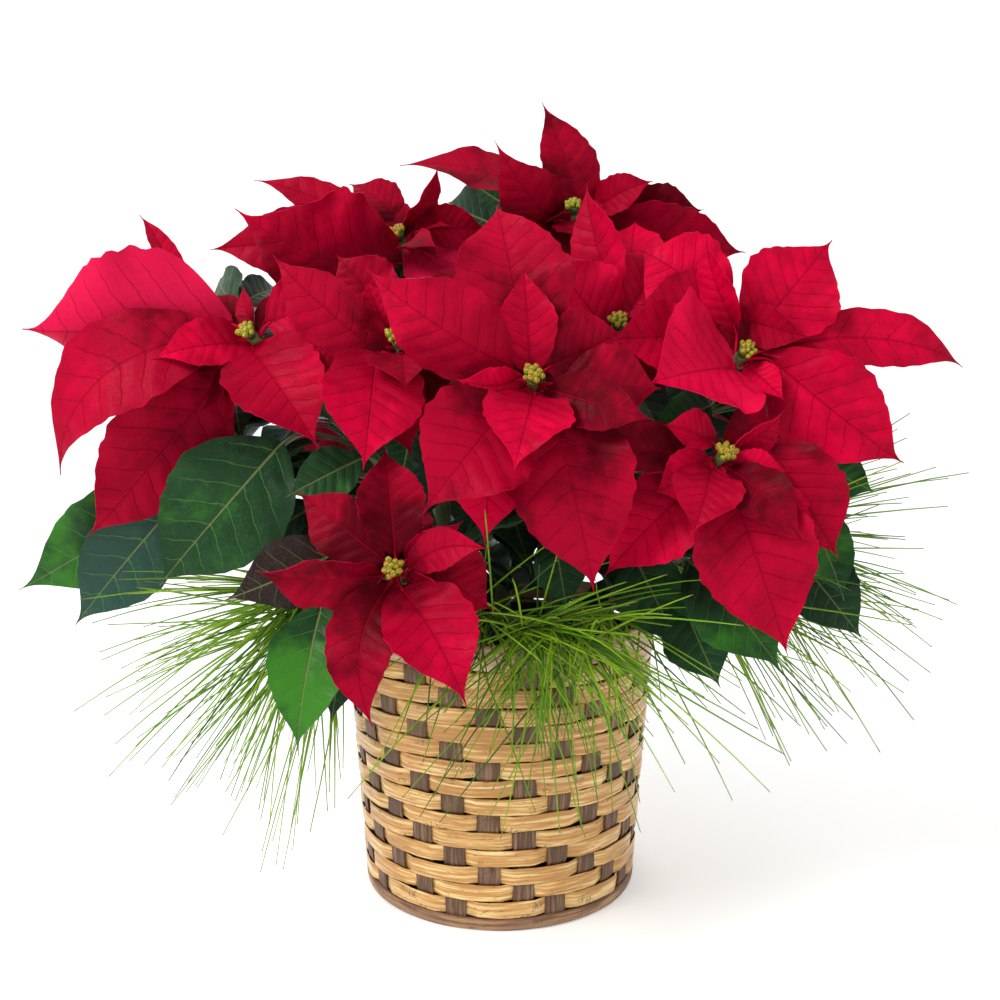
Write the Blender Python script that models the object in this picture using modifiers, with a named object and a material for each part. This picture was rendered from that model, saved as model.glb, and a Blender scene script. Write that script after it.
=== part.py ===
"""A poinsettia in bloom, with sprays of long pine needles, in a round woven basket.

Metres, +Z up. The origin is the centre of the basket's foot, on the surface that it stands on.
The front of the plant looks towards -Y, and that side was laid out on a front view, drawn in
perspective from EYE. A point of the view is (across, up, near) in millimetres: across and up are
read on the upright plane through the basket's axis, and near is how far the real point stands in
front of that plane, on the line from EYE.
"""

import math
import random
from typing import NamedTuple

import bmesh
import bpy
from mathutils import Matrix, Vector
from mathutils.bvhtree import BVHTree

MM = 0.001
SEED = 1225
EYE = Vector((0.0, -0.78, 0.371))
UP = Vector((0.0, 0.0, 1.0))

# Basket
FOOT_RADIUS = 0.0955
TOP_RADIUS = 0.1090
FOOT_HEIGHT = 0.009
FOOT_THICK = 0.006
WALL_TOP = 0.176
WALL_THICK = 0.0042
RIM_TOP = 0.1945
RIM_THICK = 0.0072
STAKES = 27
FIRST_STAKE = math.radians(-94.3)
FIRST_ROW = 5
RING_SIDES = 36
WEAVER_ROWS = 14
STAKE_RELIEF = 0.0020
FLOOR_BOTTOM = 0.0
FLOOR_THICK = 0.007
PIECE_GAP = 0.0005

# Pot and soil
POT_TOP_RADIUS = 0.0955
POT_FOOT_RADIUS = 0.082
POT_BOTTOM = 0.008
POT_TOP = 0.176
POT_WALL = 0.002
SOIL_TOP = 0.162
SOIL_BOTTOM = 0.0115
HOLE_GAP = 0.0006
STEM_DEPTH = 0.055

# Stems
MAIN_STEM_RADIUS = 0.0062
FORK_HEIGHT = 0.222
BRANCH_RADIUS = 0.0034
BRANCH_SIDES = 5
BRANCH_STEPS = 3
HUB_RADIUS = 0.0034
HUB_LENGTH = 0.018
ROOT_DROP = 0.004
ROOT_MARGIN = 0.002
FLOWER_CLEARANCE = 0.0062
SMALL_STATIONS = ((0.0, 0.10), (0.36, 1.0), (0.74, 0.66))
SMALL_WIDTH = 0.031
STALK_WIDTH = 0.0026
STALK_THICK = 0.0020

# Blades: how far along each station lies, and its share of the full width
BLADE_STATIONS = ((0.0, 0.08), (0.20, 0.78), (0.46, 1.0), (0.76, 0.54))
BLADE_THICK = 0.0008
RIB_THICK = 0.0013
EDGE_RIPPLE = 0.035
CLEARANCE = 0.0009

# Flowers at the middle of each head
CLUSTER_RADIUS = 0.0066
CLUSTER_HEIGHT = 0.0050
BUD_RELIEF = 0.20
BUDS_IN_RING = 5
CLUSTER_RINGS = 3

# Pine sprays
TWIG_RADIUS = 0.0022
NEEDLE_ROOT_RADIUS = 0.0009
NEEDLE_TIP_RADIUS = 0.0004
NEEDLE_BEND = 0.16
NEEDLE_TRIES = 4000
TWIG_DEPTH = 0.030

# Fitting
WELD = 0.000002
SETTLE_ROUNDS = 200
LOWER_STEPS = 8
SETTLE_STEP = 0.0016
MOST_STRETCH = 1.15


class Blade(NamedTuple):
    """A bract or leaf. base and tip are (across, up, near) in mm from the head's centre.

    roll turns the blade about the line from base to tip, in degrees: at 0 its face looks at EYE,
    and past 90 its back does. bow lifts the middle towards the face and sweep moves it sideways,
    both as shares of the length. fold raises both edges towards the face, in degrees.
    """

    base: tuple
    tip: tuple
    width: float
    roll: float = 0.0
    bow: float = 0.08
    sweep: float = 0.0
    fold: float = 10.0


class Head(NamedTuple):
    """A flower head: its plant, its centre, the way it faces, and its bracts."""

    plant: str
    centre: tuple
    faces: tuple
    bracts: tuple


class Whorl(NamedTuple):
    """A flower head out of the front view, at a real place in mm, with bracts set round it."""

    plant: str
    centre: tuple
    faces: tuple
    bracts: int
    reach: float


class Placed:
    """A blade at its real place: its root on the stem, its base, its tip and the way it faces."""

    def __init__(self, node, root, base, tip, face, blade):
        self.node = node
        self.root = root
        self.base = base
        self.tip = tip
        self.face = face
        self.width = blade.width * MM
        self.bow = blade.bow
        self.sweep = blade.sweep
        self.fold = math.radians(blade.fold)
        drawn = blade.tip != blade.base
        self.reach = (tip - base).length * (MOST_STRETCH if drawn else 1.0)


# The heads that show from the front, from the left to the right
HEADS = {
    "far_left": Head("left", (-174, 387, 95), (-0.35, -0.75, 0.55), (
        Blade((-6, -3, 5), (46, -79, 40), 62, roll=-8, bow=0.10, fold=20),
        Blade((-10, 3, 2), (-71, -14, 23), 34, roll=25, bow=0.10, fold=22),
        Blade((-13, 0, -3), (-138, -102, 4), 60, roll=28, bow=0.20, sweep=-0.13, fold=6),
        Blade((-15, 12, -12), (-155, 1, -40), 104, roll=152, bow=-0.06, fold=26),
        Blade((-17, -29, -10), (-117, -145, 5), 72, roll=-10, fold=8),
        Blade((11, 8, -3), (64, 21, -10), 44, roll=-10, bow=0.10, fold=14),
        Blade((-22, -7, -20), (-136, -44, -58), 56, roll=160),
        Blade((-46, 26, -34), (-71, 79, -66), 18, roll=30, bow=0.06, fold=16),
    )),
    "upper_left": Head("left", (-70, 453, 30), (-0.30, -0.55, 0.80), (
        Blade((-7, 4, 6), (-104, 32, 36), 96, roll=-38, bow=0.14, sweep=0.03, fold=-8),
        Blade((-3, 13, -8), (29, 44, -12), 26, roll=58, fold=14),
        Blade((4, 7, 2), (43, -24, 32), 40, roll=140, bow=0.14),
        Blade((-8, 14, -16), (-97, 38, -34), 28, roll=30, bow=0.02, fold=8),
        Blade((-1, 17, -24), (-32, 32, -40), 36, roll=40, bow=0.12, fold=8),
        Blade((-13, -6, -16), (-129, -11, -8), 48, roll=10, fold=8),
        Blade((10, 6, -8), (62, 3, -16), 34, roll=4, bow=0.08, fold=8),
    )),
    "left": Head("left", (-72, 384, 120), (-0.10, -0.85, 0.50), (
        Blade((-10, -2, 4), (-83, 62, 8), 42, roll=-14, bow=0.12, fold=14),
        Blade((-15, -5, 4), (-23, -93, 45), 60, bow=0.10),
        Blade((2, -6, 4), (6, -34, 40), 42, bow=0.14),
        Blade((-6, 3, -2), (-22, 43, -2), 24, roll=5, bow=0.06, fold=18),
        Blade((-1, 12, -12), (-40, 55, -16), 42, roll=-8, bow=0.10, fold=8),
        Blade((-31, -7, -20), (-72, -10, -22), 52, roll=10, fold=8),
    )),
    "lower_left": Head("left", (-76, 221, 172), (-0.08, -0.93, 0.36), (
        Blade((-10, -3, 2), (-98, -3, 24), 38, roll=-42, bow=0.06, fold=16),
        Blade((-4, -10, 4), (-16, -117, 34), 40, roll=14, bow=0.14, sweep=-0.12),
        Blade((4, -13, 4), (53, -102, 32), 50, roll=-8, bow=0.14, sweep=0.02, fold=12),
        Blade((7, -4, 6), (33, -48, 24), 22, roll=36, bow=0.10, sweep=0.26, fold=14),
        Blade((10, 0, 4), (69, 14, 18), 24, roll=-10, bow=0.10, sweep=0.12, fold=12),
        Blade((7, 8, 0), (50, 34, 4), 20, roll=14, bow=0.06, fold=14),
        Blade((1, 11, -6), (-5, 87, -24), 40, roll=4, bow=0.06, fold=14),
        Blade((-7, 7, -8), (-66, 55, -30), 36, roll=-6, bow=0.06),
        Blade((13, 8, -10), (70, -30, -14), 50, roll=-6),
    )),
    "centre": Head("middle", (23, 357, 155), (0.0, -0.90, 0.42), (
        Blade((2, -6, 5), (-13, -60, 45), 49, roll=4, bow=0.14),
        Blade((-10, 3, 3), (-54, -2, 23), 23, roll=-10, bow=0.12, sweep=0.08, fold=12),
        Blade((-15, 8, -1), (-117, 72, 21), 56, roll=-16, bow=0.10, fold=-14),
        Blade((-1, 7, -1), (-7, 78, -5), 34, roll=2, bow=0.06, fold=16),
        Blade((-9, -11, -3), (-78, -97, 29), 66, roll=4, bow=0.12, fold=8),
        Blade((-4, 15, -11), (-26, 118, -47), 68, roll=4, fold=8),
        Blade((9, 6, -7), (62, 31, -27), 50, roll=8, fold=8),
        Blade((19, -6, -5), (90, -10, -17), 50, roll=4, bow=0.10, fold=-14),
        Blade((10, -15, -7), (45, -155, 21), 72, roll=-6, bow=0.12, fold=8),
        Blade((-27, -24, -17), (-34, -120, 5), 48, bow=0.10),
    )),
    "top": Head("middle", (50, 471, 5), (-0.05, -0.50, 0.85), (
        Blade((-13, -1, 9), (-54, 43, 45), 40, roll=-14, bow=0.18, fold=-10),
        Blade((-8, 13, 3), (-118, 29, 13), 44, roll=54, bow=0.12, fold=8),
        Blade((8, 15, -5), (-22, 72, 1), 40, roll=20, bow=0.06, fold=18),
        Blade((-3, 7, 2), (-18, 42, 14), 28, roll=-18, bow=0.08, fold=16),
        Blade((3, -6, 11), (10, -24, 55), 32, bow=0.18),
        Blade((14, 6, -3), (54, 17, 13), 28, roll=-26, bow=0.10, fold=16),
        Blade((18, -2, -9), (90, -3, -17), 44, roll=20, fold=8),
        Blade((15, -12, -7), (118, -31, -15), 54, roll=16, fold=8),
        Blade((-13, -6, 5), (-46, -6, 35), 44, roll=-12, bow=0.12, fold=8),
    )),
    "upper_right": Head("middle", (81, 394, 80), (0.10, -0.75, 0.62), (
        Blade((-2, 6, 2), (-50, 52, 20), 54, roll=26, bow=0.06, fold=16),
        Blade((1, 11, -6), (-24, 92, -34), 36, roll=-22, bow=0.06, fold=12),
        Blade((6, 12, -14), (12, 76, -46), 46, roll=-6, fold=8),
        Blade((7, 6, -8), (35, 49, -40), 46, roll=-8, fold=8),
    )),
    "right": Head("right", (170, 374, 100), (0.30, -0.80, 0.52), (
        Blade((-4, -8, 6), (-66, -22, 46), 88, roll=28, bow=0.06, fold=27),
        Blade((6, -3, 2), (31, -33, 18), 20, roll=-20, bow=0.10, fold=14),
        Blade((9, 14, -6), (56, 74, -14), 62, fold=14),
        Blade((13, 3, -6), (155, -12, -8), 38, roll=-20, bow=0.12, sweep=0.06, fold=12),
        Blade((15, -4, -10), (113, -80, 0), 64, roll=6, bow=0.10, fold=8),
        Blade((-3, 20, -8), (-31, 76, -12), 26, roll=-30, fold=16),
        Blade((-8, 27, -16), (45, 8, 4), 26, roll=18, bow=0.06),
        Blade((-13, 20, -18), (-79, 31, -26), 52, roll=10, bow=0.12, fold=8),
        Blade((-15, 27, -28), (-76, 69, -44), 58, roll=12, bow=0.14, fold=8),
        Blade((-24, 6, -16), (-99, 7, -4), 46, roll=16, fold=12),
    )),
    "lower_right": Head("right", (158, 303, 150), (0.18, -0.88, 0.44), (
        Blade((-5, -6, 6), (-21, -57, 28), 40, roll=-4, bow=0.12, fold=12),
        Blade((7, -3, 2), (47, -10, 10), 22, roll=-6, bow=0.10, fold=14),
        Blade((3, -15, 0), (49, -146, 22), 66, roll=-4, bow=0.10, fold=8),
        Blade((4, 7, 0), (45, 35, 4), 24, roll=50, bow=0.12, fold=16),
        Blade((-10, 0, 0), (-50, -28, 2), 34, roll=-20, bow=0.16, fold=18),
        Blade((13, -13, -8), (51, -86, 0), 44, roll=-8, fold=8),
        Blade((28, 10, -12), (81, -75, 0), 54, roll=-8, fold=8),
        Blade((-16, -17, -12), (-85, -88, -4), 54, roll=12, bow=0.10, fold=12),
        Blade((-8, 8, -8), (-44, 20, -10), 26, roll=30, bow=0.14, fold=18),
    )),
}

# The heads behind, at real places
WHORLS = {
    "back_left": Whorl("left", (-124, 98, 346), (-0.58, 0.55, 0.62), 7, 88),
    "back_middle": Whorl("middle", (4, 158, 322), (0.0, 0.80, 0.60), 7, 96),
    "back_top": Whorl("middle", (6, 96, 422), (-0.05, 0.55, 0.83), 6, 84),
    "back_right": Whorl("right", (134, 92, 352), (0.58, 0.55, 0.60), 7, 92),
}

# Where each plant's stem stands in the soil, in mm
PLANTS = {"left": (-36, -14), "middle": (2, 30), "right": (38, -14)}

# Green leaves that show from the front: (across, up, near) of base and tip in the front view
LEAVES = {
    "left": (
        Blade((-200, 291, 40), (-343, 204, 62), 64, roll=-6, bow=0.10),
        Blade((-214, 282, 62), (-304, 178, 80), 58, roll=8),
        Blade((-152, 310, 92), (-243, 207, 112), 76, roll=4, bow=0.10),
        Blade((-97, 299, 112), (-150, 272, 124), 32, roll=6),
        Blade((-105, 238, 122), (-196, 198, 136), 42, roll=170, bow=-0.10),
        Blade((-126, 196, 134), (-147, 86, 172), 46, roll=10, bow=0.14),
        Blade((-112, 198, 118), (-122, 106, 142), 34, roll=-12, bow=0.10),
        Blade((-60, 326, 96), (-70, 280, 112), 26, roll=4),
    ),
    "middle": (
        Blade((38, 248, 98), (48, 189, 112), 32, roll=4),
        Blade((48, 325, 108), (98, 303, 118), 32, roll=-8),
    ),
    "right": (
        Blade((146, 336, 100), (104, 318, 112), 34, roll=-16, fold=14),
        Blade((133, 227, 122), (201, 146, 146), 60, roll=-20, fold=18),
        Blade((128, 200, 114), (158, 134, 134), 42, roll=6),
        Blade((94, 232, 100), (130, 164, 116), 46, roll=10),
        Blade((214, 300, 84), (263, 275, 96), 32, roll=4),
        Blade((215, 270, 80), (245, 197, 98), 36, roll=-4),
        Blade((200, 240, 70), (259, 169, 88), 46, roll=-6),
    ),
}


class LeafRing(NamedTuple):
    """Leaves behind, fanned round the plants: angles from +X in degrees, sizes in mm."""

    plant: str
    angles: tuple
    height: float
    radius: float
    length: float
    droop: float


LEAF_RINGS = (
    LeafRing("left", (132, 158, 184), 286, 112, 104, 30),
    LeafRing("left", (150,), 236, 96, 96, 42),
    LeafRing("middle", (76, 104), 262, 100, 106, 34),
    LeafRing("right", (-4, 24, 50), 282, 112, 104, 30),
    LeafRing("right", (24,), 236, 96, 96, 42),
)


class Spray(NamedTuple):
    """A pine spray: its twig from the soil to its end in mm, and its needles."""

    foot: tuple
    bend: tuple
    end: tuple
    needles: int
    length: float


SPRAYS = {
    "left": Spray((-66, -34, 172), (-92, -56, 214), (-118, -84, 222), 22, 112),
    "front": Spray((6, -70, 172), (18, -100, 206), (32, -138, 212), 28, 108),
    "right": Spray((70, -28, 172), (112, -40, 226), (164, -56, 262), 18, 112),
    "back": Spray((36, 64, 172), (52, 92, 224), (74, 128, 250), 10, 110),
}


def view_point(across, up, near):
    """The real place, in metres, of a point of the front view."""
    drawn = Vector((across * MM, 0.0, up * MM))
    return EYE + (drawn - EYE) * ((near * MM + EYE.y) / EYE.y)


def square_to(direction, axis):
    """The part of a direction that is square to a unit axis, as a unit vector."""
    return (direction - axis * direction.dot(axis)).normalized()


def mesh_object(name, points, faces, collection):
    """A mesh object of these points and faces."""
    mesh = bpy.data.meshes.new(name)
    mesh.from_pydata([tuple(point) for point in points], [], faces)
    mesh.validate()
    made = bpy.data.objects.new(name, mesh)
    collection.objects.link(made)
    return made


def loft(path, radii, sides):
    """Points and faces of a round bar along a path, with flat ends."""
    points, faces = [], []
    side = None
    for index, place in enumerate(path):
        before, after = path[max(index - 1, 0)], path[min(index + 1, len(path) - 1)]
        along = (after - before).normalized()
        if side is None:
            side = along.orthogonal().normalized()
        side = square_to(side, along)
        other = along.cross(side)
        for step in range(sides):
            angle = math.tau * step / sides
            points.append(place + (side * math.cos(angle) + other * math.sin(angle)) * radii[index])
    for ring in range(len(path) - 1):
        for step in range(sides):
            low, next_low = ring * sides + step, ring * sides + (step + 1) % sides
            faces.append((low, next_low, next_low + sides, low + sides))
    faces.append(tuple(reversed(range(sides))))
    faces.append(tuple(range((len(path) - 1) * sides, len(path) * sides)))
    return points, faces


def blade_axes(blade):
    """The blade's length, and its unit axes along it, across it and out of its face."""
    along = blade.tip - blade.base
    length = along.length
    along = along / length
    face = square_to(blade.face, along)
    return length, along, face.cross(along), face


def blade_centre(blade, share):
    """The point of the blade's rib at this share of its length."""
    length, along, across, face = blade_axes(blade)
    arch = 4.0 * share * (1.0 - share)
    return blade.base + (along * share + (face * blade.bow + across * blade.sweep) * arch) * length


def stations_of(blade):
    """The blade's stations: a small one has one fewer."""
    return SMALL_STATIONS if blade.width < SMALL_WIDTH else BLADE_STATIONS


def blade_row(blade, share, half, ripple):
    """A station of the blade: its points from side to side, the normals there, and its axes."""
    length, along, across, face = blade_axes(blade)
    slope = 4.0 * (1.0 - 2.0 * share)
    run = (along + (face * blade.bow + across * blade.sweep) * slope).normalized()
    if share == 0.0:
        run = (run + (blade.base - blade.root).normalized()).normalized()
    lift = square_to(face, run)
    side = lift.cross(run)
    out, rise = math.cos(blade.fold) * half, math.sin(blade.fold) * half
    places, normals = [], []
    for hand in (-1, 0, 1):
        reach = side * (hand * out) + lift * (abs(hand) * rise + hand * ripple)
        places.append(blade_centre(blade, share) + reach)
        normals.append((lift * math.cos(blade.fold) - side * (hand * math.sin(blade.fold))).normalized())
    return places, normals, side, run


def blade_rows(blade, extra, first):
    """The points over and under the blade, from its stalk to its tip."""
    over, under = [], []
    face = blade_axes(blade)[3]
    for index, (share, width_share) in enumerate(stations_of(blade)[first:], first):
        half = max(blade.width * width_share, STALK_WIDTH) / 2.0
        ripple = EDGE_RIPPLE * blade.width * (-1) ** index * width_share
        places, normals, side, run = blade_row(blade, share, half, ripple)
        if index == 0:
            stalk = (blade.base - blade.root).normalized()
            side = run.rotation_difference(stalk) @ side
            lift = stalk.cross(side) * (STALK_THICK / 2.0 + extra)
            for hand in (-1, 1):
                place = blade.root + side * (hand * STALK_WIDTH / 2.0)
                over.append(place + lift)
                under.append(place - lift)
        for hand in (0, 1, 2):
            thick = (RIB_THICK if hand == 1 else BLADE_THICK) / 2.0 + extra
            over.append(places[hand] + normals[hand] * thick)
            under.append(places[hand] - normals[hand] * thick)
    over.append(blade.tip + face * (BLADE_THICK / 2.0 + extra))
    under.append(blade.tip - face * (BLADE_THICK / 2.0 + extra))
    return over, under


def blade_solid(blade, extra=0.0, first=0):
    """Points and triangles of a closed blade and its stalk, split alike on its face and its back.

    extra thickens it, and first leaves out its stalk and the stations before that one.
    """
    over, under = blade_rows(blade, extra, first)
    last, end = len(over) - 4, len(over) - 1
    start = 2 if first == 0 else 0
    top = [(3, 2, 0), (3, 0, 1), (3, 1, 4)] if first == 0 else []
    for left in range(start, last, 3):
        rib, right = left + 1, left + 2
        top += [(rib, left + 3, left), (rib, rib + 3, left + 3)]
        top += [(rib, right, right + 3), (rib, right + 3, rib + 3)]
    top += [(last + 1, end, last), (last + 1, last + 2, end)]
    count = len(over)
    faces = top + [(a + count, c + count, b + count) for a, b, c in top]
    rim = [*range(start, last + 1, 3), end, *range(last + 2, start + 1, -3)]
    rim = [0, *rim, 1] if first == 0 else [*rim, 1]
    for here, there in zip(rim, rim[1:] + rim[:1]):
        faces += [(here, there, there + count), (here, there + count, here + count)]
    return over + under, faces


def outward(points, faces):
    """The faces, all turned round if they enclose a negative volume."""
    volume = sum(points[f[0]].dot(points[f[1]].cross(points[f[2]])) for f in faces)
    return faces if volume > 0 else [tuple(reversed(f)) for f in faces]


def tree_of(points, faces):
    """A search tree of a closed shape."""
    return BVHTree.FromPolygons([tuple(point) for point in points], faces)


def curve_path(start, start_way, end, end_way, steps):
    """Points on a smooth path that leaves and arrives along the given ways."""
    hold = (end - start).length * 0.38
    first, second = start + start_way.normalized() * hold, end - end_way.normalized() * hold
    path = []
    for step in range(steps + 1):
        t = step / steps
        s = 1.0 - t
        path.append(start * s ** 3 + first * (3 * s * s * t) + second * (3 * s * t * t) + end * t ** 3)
    return path


def whorl_bracts(name, whorl):
    """The bracts of a head that is out of the front view, at their real places."""
    draw = random.Random(f"{SEED} {name}")
    centre = Vector(whorl.centre) * MM
    axis = Vector(whorl.faces).normalized()
    start = axis.orthogonal().normalized()
    other = axis.cross(start)
    turn = draw.uniform(0.0, math.tau)
    found = []
    for index in range(whorl.bracts):
        inner = index % 3 == 2
        angle = turn + math.tau * index / whorl.bracts + draw.uniform(-0.16, 0.16)
        radial = start * math.cos(angle) + other * math.sin(angle)
        reach = whorl.reach * MM * (0.55 if inner else draw.uniform(0.88, 1.06))
        lean = math.radians(draw.uniform(8, 20) if inner else draw.uniform(-24, -2))
        lean -= math.radians(14) * max(0.0, -radial.z)
        way = radial * math.cos(lean) + axis * math.sin(lean)
        base = centre + radial * (7 * MM) - axis * FLOWER_CLEARANCE
        width = (0.52 if inner else 0.60) * reach / MM
        blade = Blade((0, 0, 0), (0, 0, 0), width, bow=0.12, sweep=draw.uniform(-0.06, 0.06), fold=10)
        found.append((base, base + way * reach, axis, blade))
    return centre, axis, found


def view_bracts(head):
    """The bracts of a head laid out on the front view, at their real places."""
    centre = view_point(*head.centre)
    axis = Vector(head.faces).normalized()
    found = []
    for blade in head.bracts:
        base = view_point(*(a + b for a, b in zip(head.centre, blade.base)))
        tip = view_point(*(a + b for a, b in zip(head.centre, blade.tip)))
        above = (base - centre).dot(axis) + FLOWER_CLEARANCE
        base -= axis * max(0.0, above)
        found.append((base, tip, view_face(base, tip, blade.roll), blade))
    return centre, axis, found


def view_face(base, tip, roll):
    """The way that a blade of the front view faces, once it is rolled."""
    along = (tip - base).normalized()
    towards_eye = square_to(EYE - (base + tip) / 2.0, along)
    return Matrix.Rotation(math.radians(roll), 3, along) @ towards_eye


def root_on_hub(base, top, axis):
    """Where a bract's stalk leaves its hub: a little below the bract's base."""
    depth = (top - base).dot(axis) + ROOT_DROP + 0.2 * (base - top).length
    return top - axis * min(max(depth, ROOT_DROP), HUB_LENGTH - ROOT_MARGIN)


class Layout:
    """Every stem and blade of the plants, with the blades moved clear of other nodes."""

    def __init__(self):
        self.blades = []
        self.hubs = {}
        self.stems = {}
        self.heads = {}
        for name, head in HEADS.items():
            self.add_head(name, head.plant, *view_bracts(head))
        for name, whorl in WHORLS.items():
            self.add_head(name, whorl.plant, *whorl_bracts(name, whorl))
        for plant in PLANTS:
            self.add_stems(plant)
        for plant, leaves in LEAVES.items():
            for blade in leaves:
                base, tip = view_point(*blade.base), view_point(*blade.tip)
                self.add_leaf(plant, base, tip, view_face(base, tip, blade.roll), blade)
        for ring in LEAF_RINGS:
            self.add_leaf_ring(ring)

    def add_head(self, name, plant, centre, axis, bracts):
        """Notes a head's hub and bracts."""
        top = centre - axis * FLOWER_CLEARANCE
        self.heads[name] = (plant, centre, axis)
        self.hubs[name] = (top, top - axis * HUB_LENGTH)
        for base, tip, face, blade in bracts:
            root = root_on_hub(base, top, axis)
            self.blades.append(Placed(f"{name}_bracts", root, base, tip, face, blade))

    def add_stems(self, plant):
        """The main stem, and a branch to each of the plant's heads."""
        x, y = (value * MM for value in PLANTS[plant])
        foot = Vector((x, y, SOIL_TOP - STEM_DEPTH))
        fork = Vector((x, y, FORK_HEIGHT))
        paths = [([foot, (foot + fork) / 2.0, fork], MAIN_STEM_RADIUS)]
        for name, (owner, _, axis) in self.heads.items():
            if owner != plant:
                continue
            end = self.hubs[name][1] - axis * PIECE_GAP
            start = fork - UP * (10 * MM)
            way = (end - start).normalized() * 0.6 + UP
            path = curve_path(start, way, end - axis * (4 * MM), axis, BRANCH_STEPS)
            paths.append(([*path, end], BRANCH_RADIUS))
        self.stems[plant] = paths

    def add_leaf(self, plant, base, tip, face, blade):
        """A leaf whose stalk reaches down and in to the nearest stem of its plant."""
        best = None
        for path, _ in self.stems[plant]:
            for first, second in zip(path, path[1:]):
                for share in (0.0, 0.25, 0.5, 0.75):
                    place = first.lerp(second, share)
                    cost = (place - base).length + 2.0 * max(0.0, place.z - base.z)
                    if place.z > RIM_TOP + 5 * MM and (best is None or cost < best[0]):
                        best = (cost, place)
        self.blades.append(Placed(f"{plant}_plant", best[1], base, tip, face, blade))

    def add_leaf_ring(self, ring):
        """Leaves fanned round the back at one height."""
        draw = random.Random(f"{SEED} {ring.plant} {ring.height}")
        for angle in ring.angles:
            turn = math.radians(angle + draw.uniform(-5, 5))
            radial = Vector((math.cos(turn), math.sin(turn), 0.0))
            droop = math.radians(ring.droop + draw.uniform(-6, 6))
            base = radial * (ring.radius * MM) + UP * (ring.height * MM)
            way = radial * math.cos(droop) - UP * math.sin(droop)
            tip = base + way * (ring.length * MM * draw.uniform(0.92, 1.08))
            blade = Blade((0, 0, 0), (0, 0, 0), ring.length * 0.52, bow=0.10, fold=8)
            self.add_leaf(ring.plant, base, tip, UP, blade)


class Settler:
    """Swings blades about their bases until none crosses a blade or stem of another node."""

    def __init__(self, layout):
        self.blades = layout.blades
        self.fixed = []
        for plant, paths in layout.stems.items():
            for path, radius in paths:
                points, faces = loft(path, [radius + CLEARANCE] * len(path), BRANCH_SIDES)
                self.fixed.append((f"{plant}_plant", tree_of(points, faces)))
        for name, (_, centre, axis) in layout.heads.items():
            top, end = layout.hubs[name]
            points, faces = loft([top, end], [HUB_RADIUS + CLEARANCE] * 2, BRANCH_SIDES)
            self.fixed.append((f"{name}_bracts", tree_of(points, faces)))
            flowers = [centre - axis * FLOWER_CLEARANCE, centre + axis * CLUSTER_HEIGHT]
            points, faces = loft(flowers, [CLUSTER_RADIUS + CLEARANCE] * 2, BRANCH_SIDES)
            tree = tree_of(points, faces)
            self.fixed.append((f"{name}_flowers", tree))
            for blade in self.blades:
                if blade.node == f"{name}_bracts":
                    self.lower(blade, top, axis, tree)
        rim = [Vector((0, 0, 0.10)), Vector((0, 0, RIM_TOP + CLEARANCE))]
        points, faces = loft(rim, [TOP_RADIUS + 2 * MM] * 2, STAKES)
        self.fixed.append(("basket", tree_of(points, faces)))

    def lower(self, blade, top, axis, flowers):
        """Slides a bract down its hub until it is clear of the flowers above it."""
        for _ in range(LOWER_STEPS):
            if not self.tree(blade).overlap(flowers):
                return
            blade.base -= axis * SETTLE_STEP
            blade.tip -= axis * SETTLE_STEP
            blade.root = root_on_hub(blade.base, top, axis)

    def run(self, rounds=SETTLE_ROUNDS):
        """Repeats the swings until nothing crosses, and gives the number of crossings left."""
        trees = [self.tree(blade) for blade in self.blades]
        outer = [self.outer_tree(blade) for blade in self.blades]
        left = 0
        for _ in range(rounds):
            moves = [Vector() for _ in self.blades]
            left = 0
            for first in range(len(self.blades)):
                for second in range(first + 1, len(self.blades)):
                    if self.part_pair(first, second, trees, outer, moves):
                        left += 1
                for node, tree in self.fixed:
                    if self.leave_fixed(first, node, tree, trees, moves):
                        left += 1
            if not left:
                break
            for index, move in enumerate(moves):
                if move.length > 0.0:
                    self.swing(self.blades[index], move)
                    trees[index] = self.tree(self.blades[index])
                    outer[index] = self.outer_tree(self.blades[index])
        return left

    def tree(self, blade):
        """A search tree of the blade, thickened by the gap it keeps."""
        return tree_of(*blade_solid(blade, CLEARANCE))

    def outer_tree(self, blade):
        """A search tree of the blade beyond its first station, as thick as it is."""
        return tree_of(*blade_solid(blade, 0.1 * MM, 1))

    def part_pair(self, first, second, trees, outer, moves):
        """Moves two blades apart if they cross. Blades of one node may cross near their stalks."""
        one, two = self.blades[first], self.blades[second]
        check = outer if one.node == two.node else trees
        if not check[first].overlap(check[second]):
            return False
        step = SETTLE_STEP if self.depth(one) < self.depth(two) else -SETTLE_STEP
        moves[first] += (EYE - one.tip).normalized() * step
        moves[second] -= (EYE - two.tip).normalized() * step
        return True

    def leave_fixed(self, index, node, tree, trees, moves):
        """Moves a blade off a stem, a cluster of flowers or the basket if it crosses it."""
        blade = self.blades[index]
        if blade.node == node or not trees[index].overlap(tree):
            return False
        middle = blade_centre(blade, 0.5)
        near, _, _, _ = tree.find_nearest(middle)
        out = middle - near
        out = out if out.length > 1e-6 else blade.face
        if node == "basket":
            out = Vector((middle.x, middle.y, 0.5 * middle.length))
        moves[index] += out.normalized() * SETTLE_STEP
        return True

    def depth(self, blade):
        """How far the blade lies from the eye."""
        return (EYE - blade.base.lerp(blade.tip, 0.6)).length

    def swing(self, blade, move):
        """Turns a blade about its base so that its tip moves this way, and its length with it."""
        arm = blade.tip - blade.base
        turned = arm + move
        if turned.length > blade.reach:
            turned *= blade.reach / turned.length
        turn = arm.rotation_difference(turned)
        blade.tip = blade.base + turned
        blade.face = turn @ blade.face


def build_layout():
    """The layout, with its blades moved clear of each other's nodes."""
    layout = Layout()
    left = Settler(layout).run()
    print("crossings left:", left)
    return layout


def collection_named(name):
    """A new collection in the scene."""
    made = bpy.data.collections.new(name)
    bpy.context.scene.collection.children.link(made)
    return made


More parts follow.
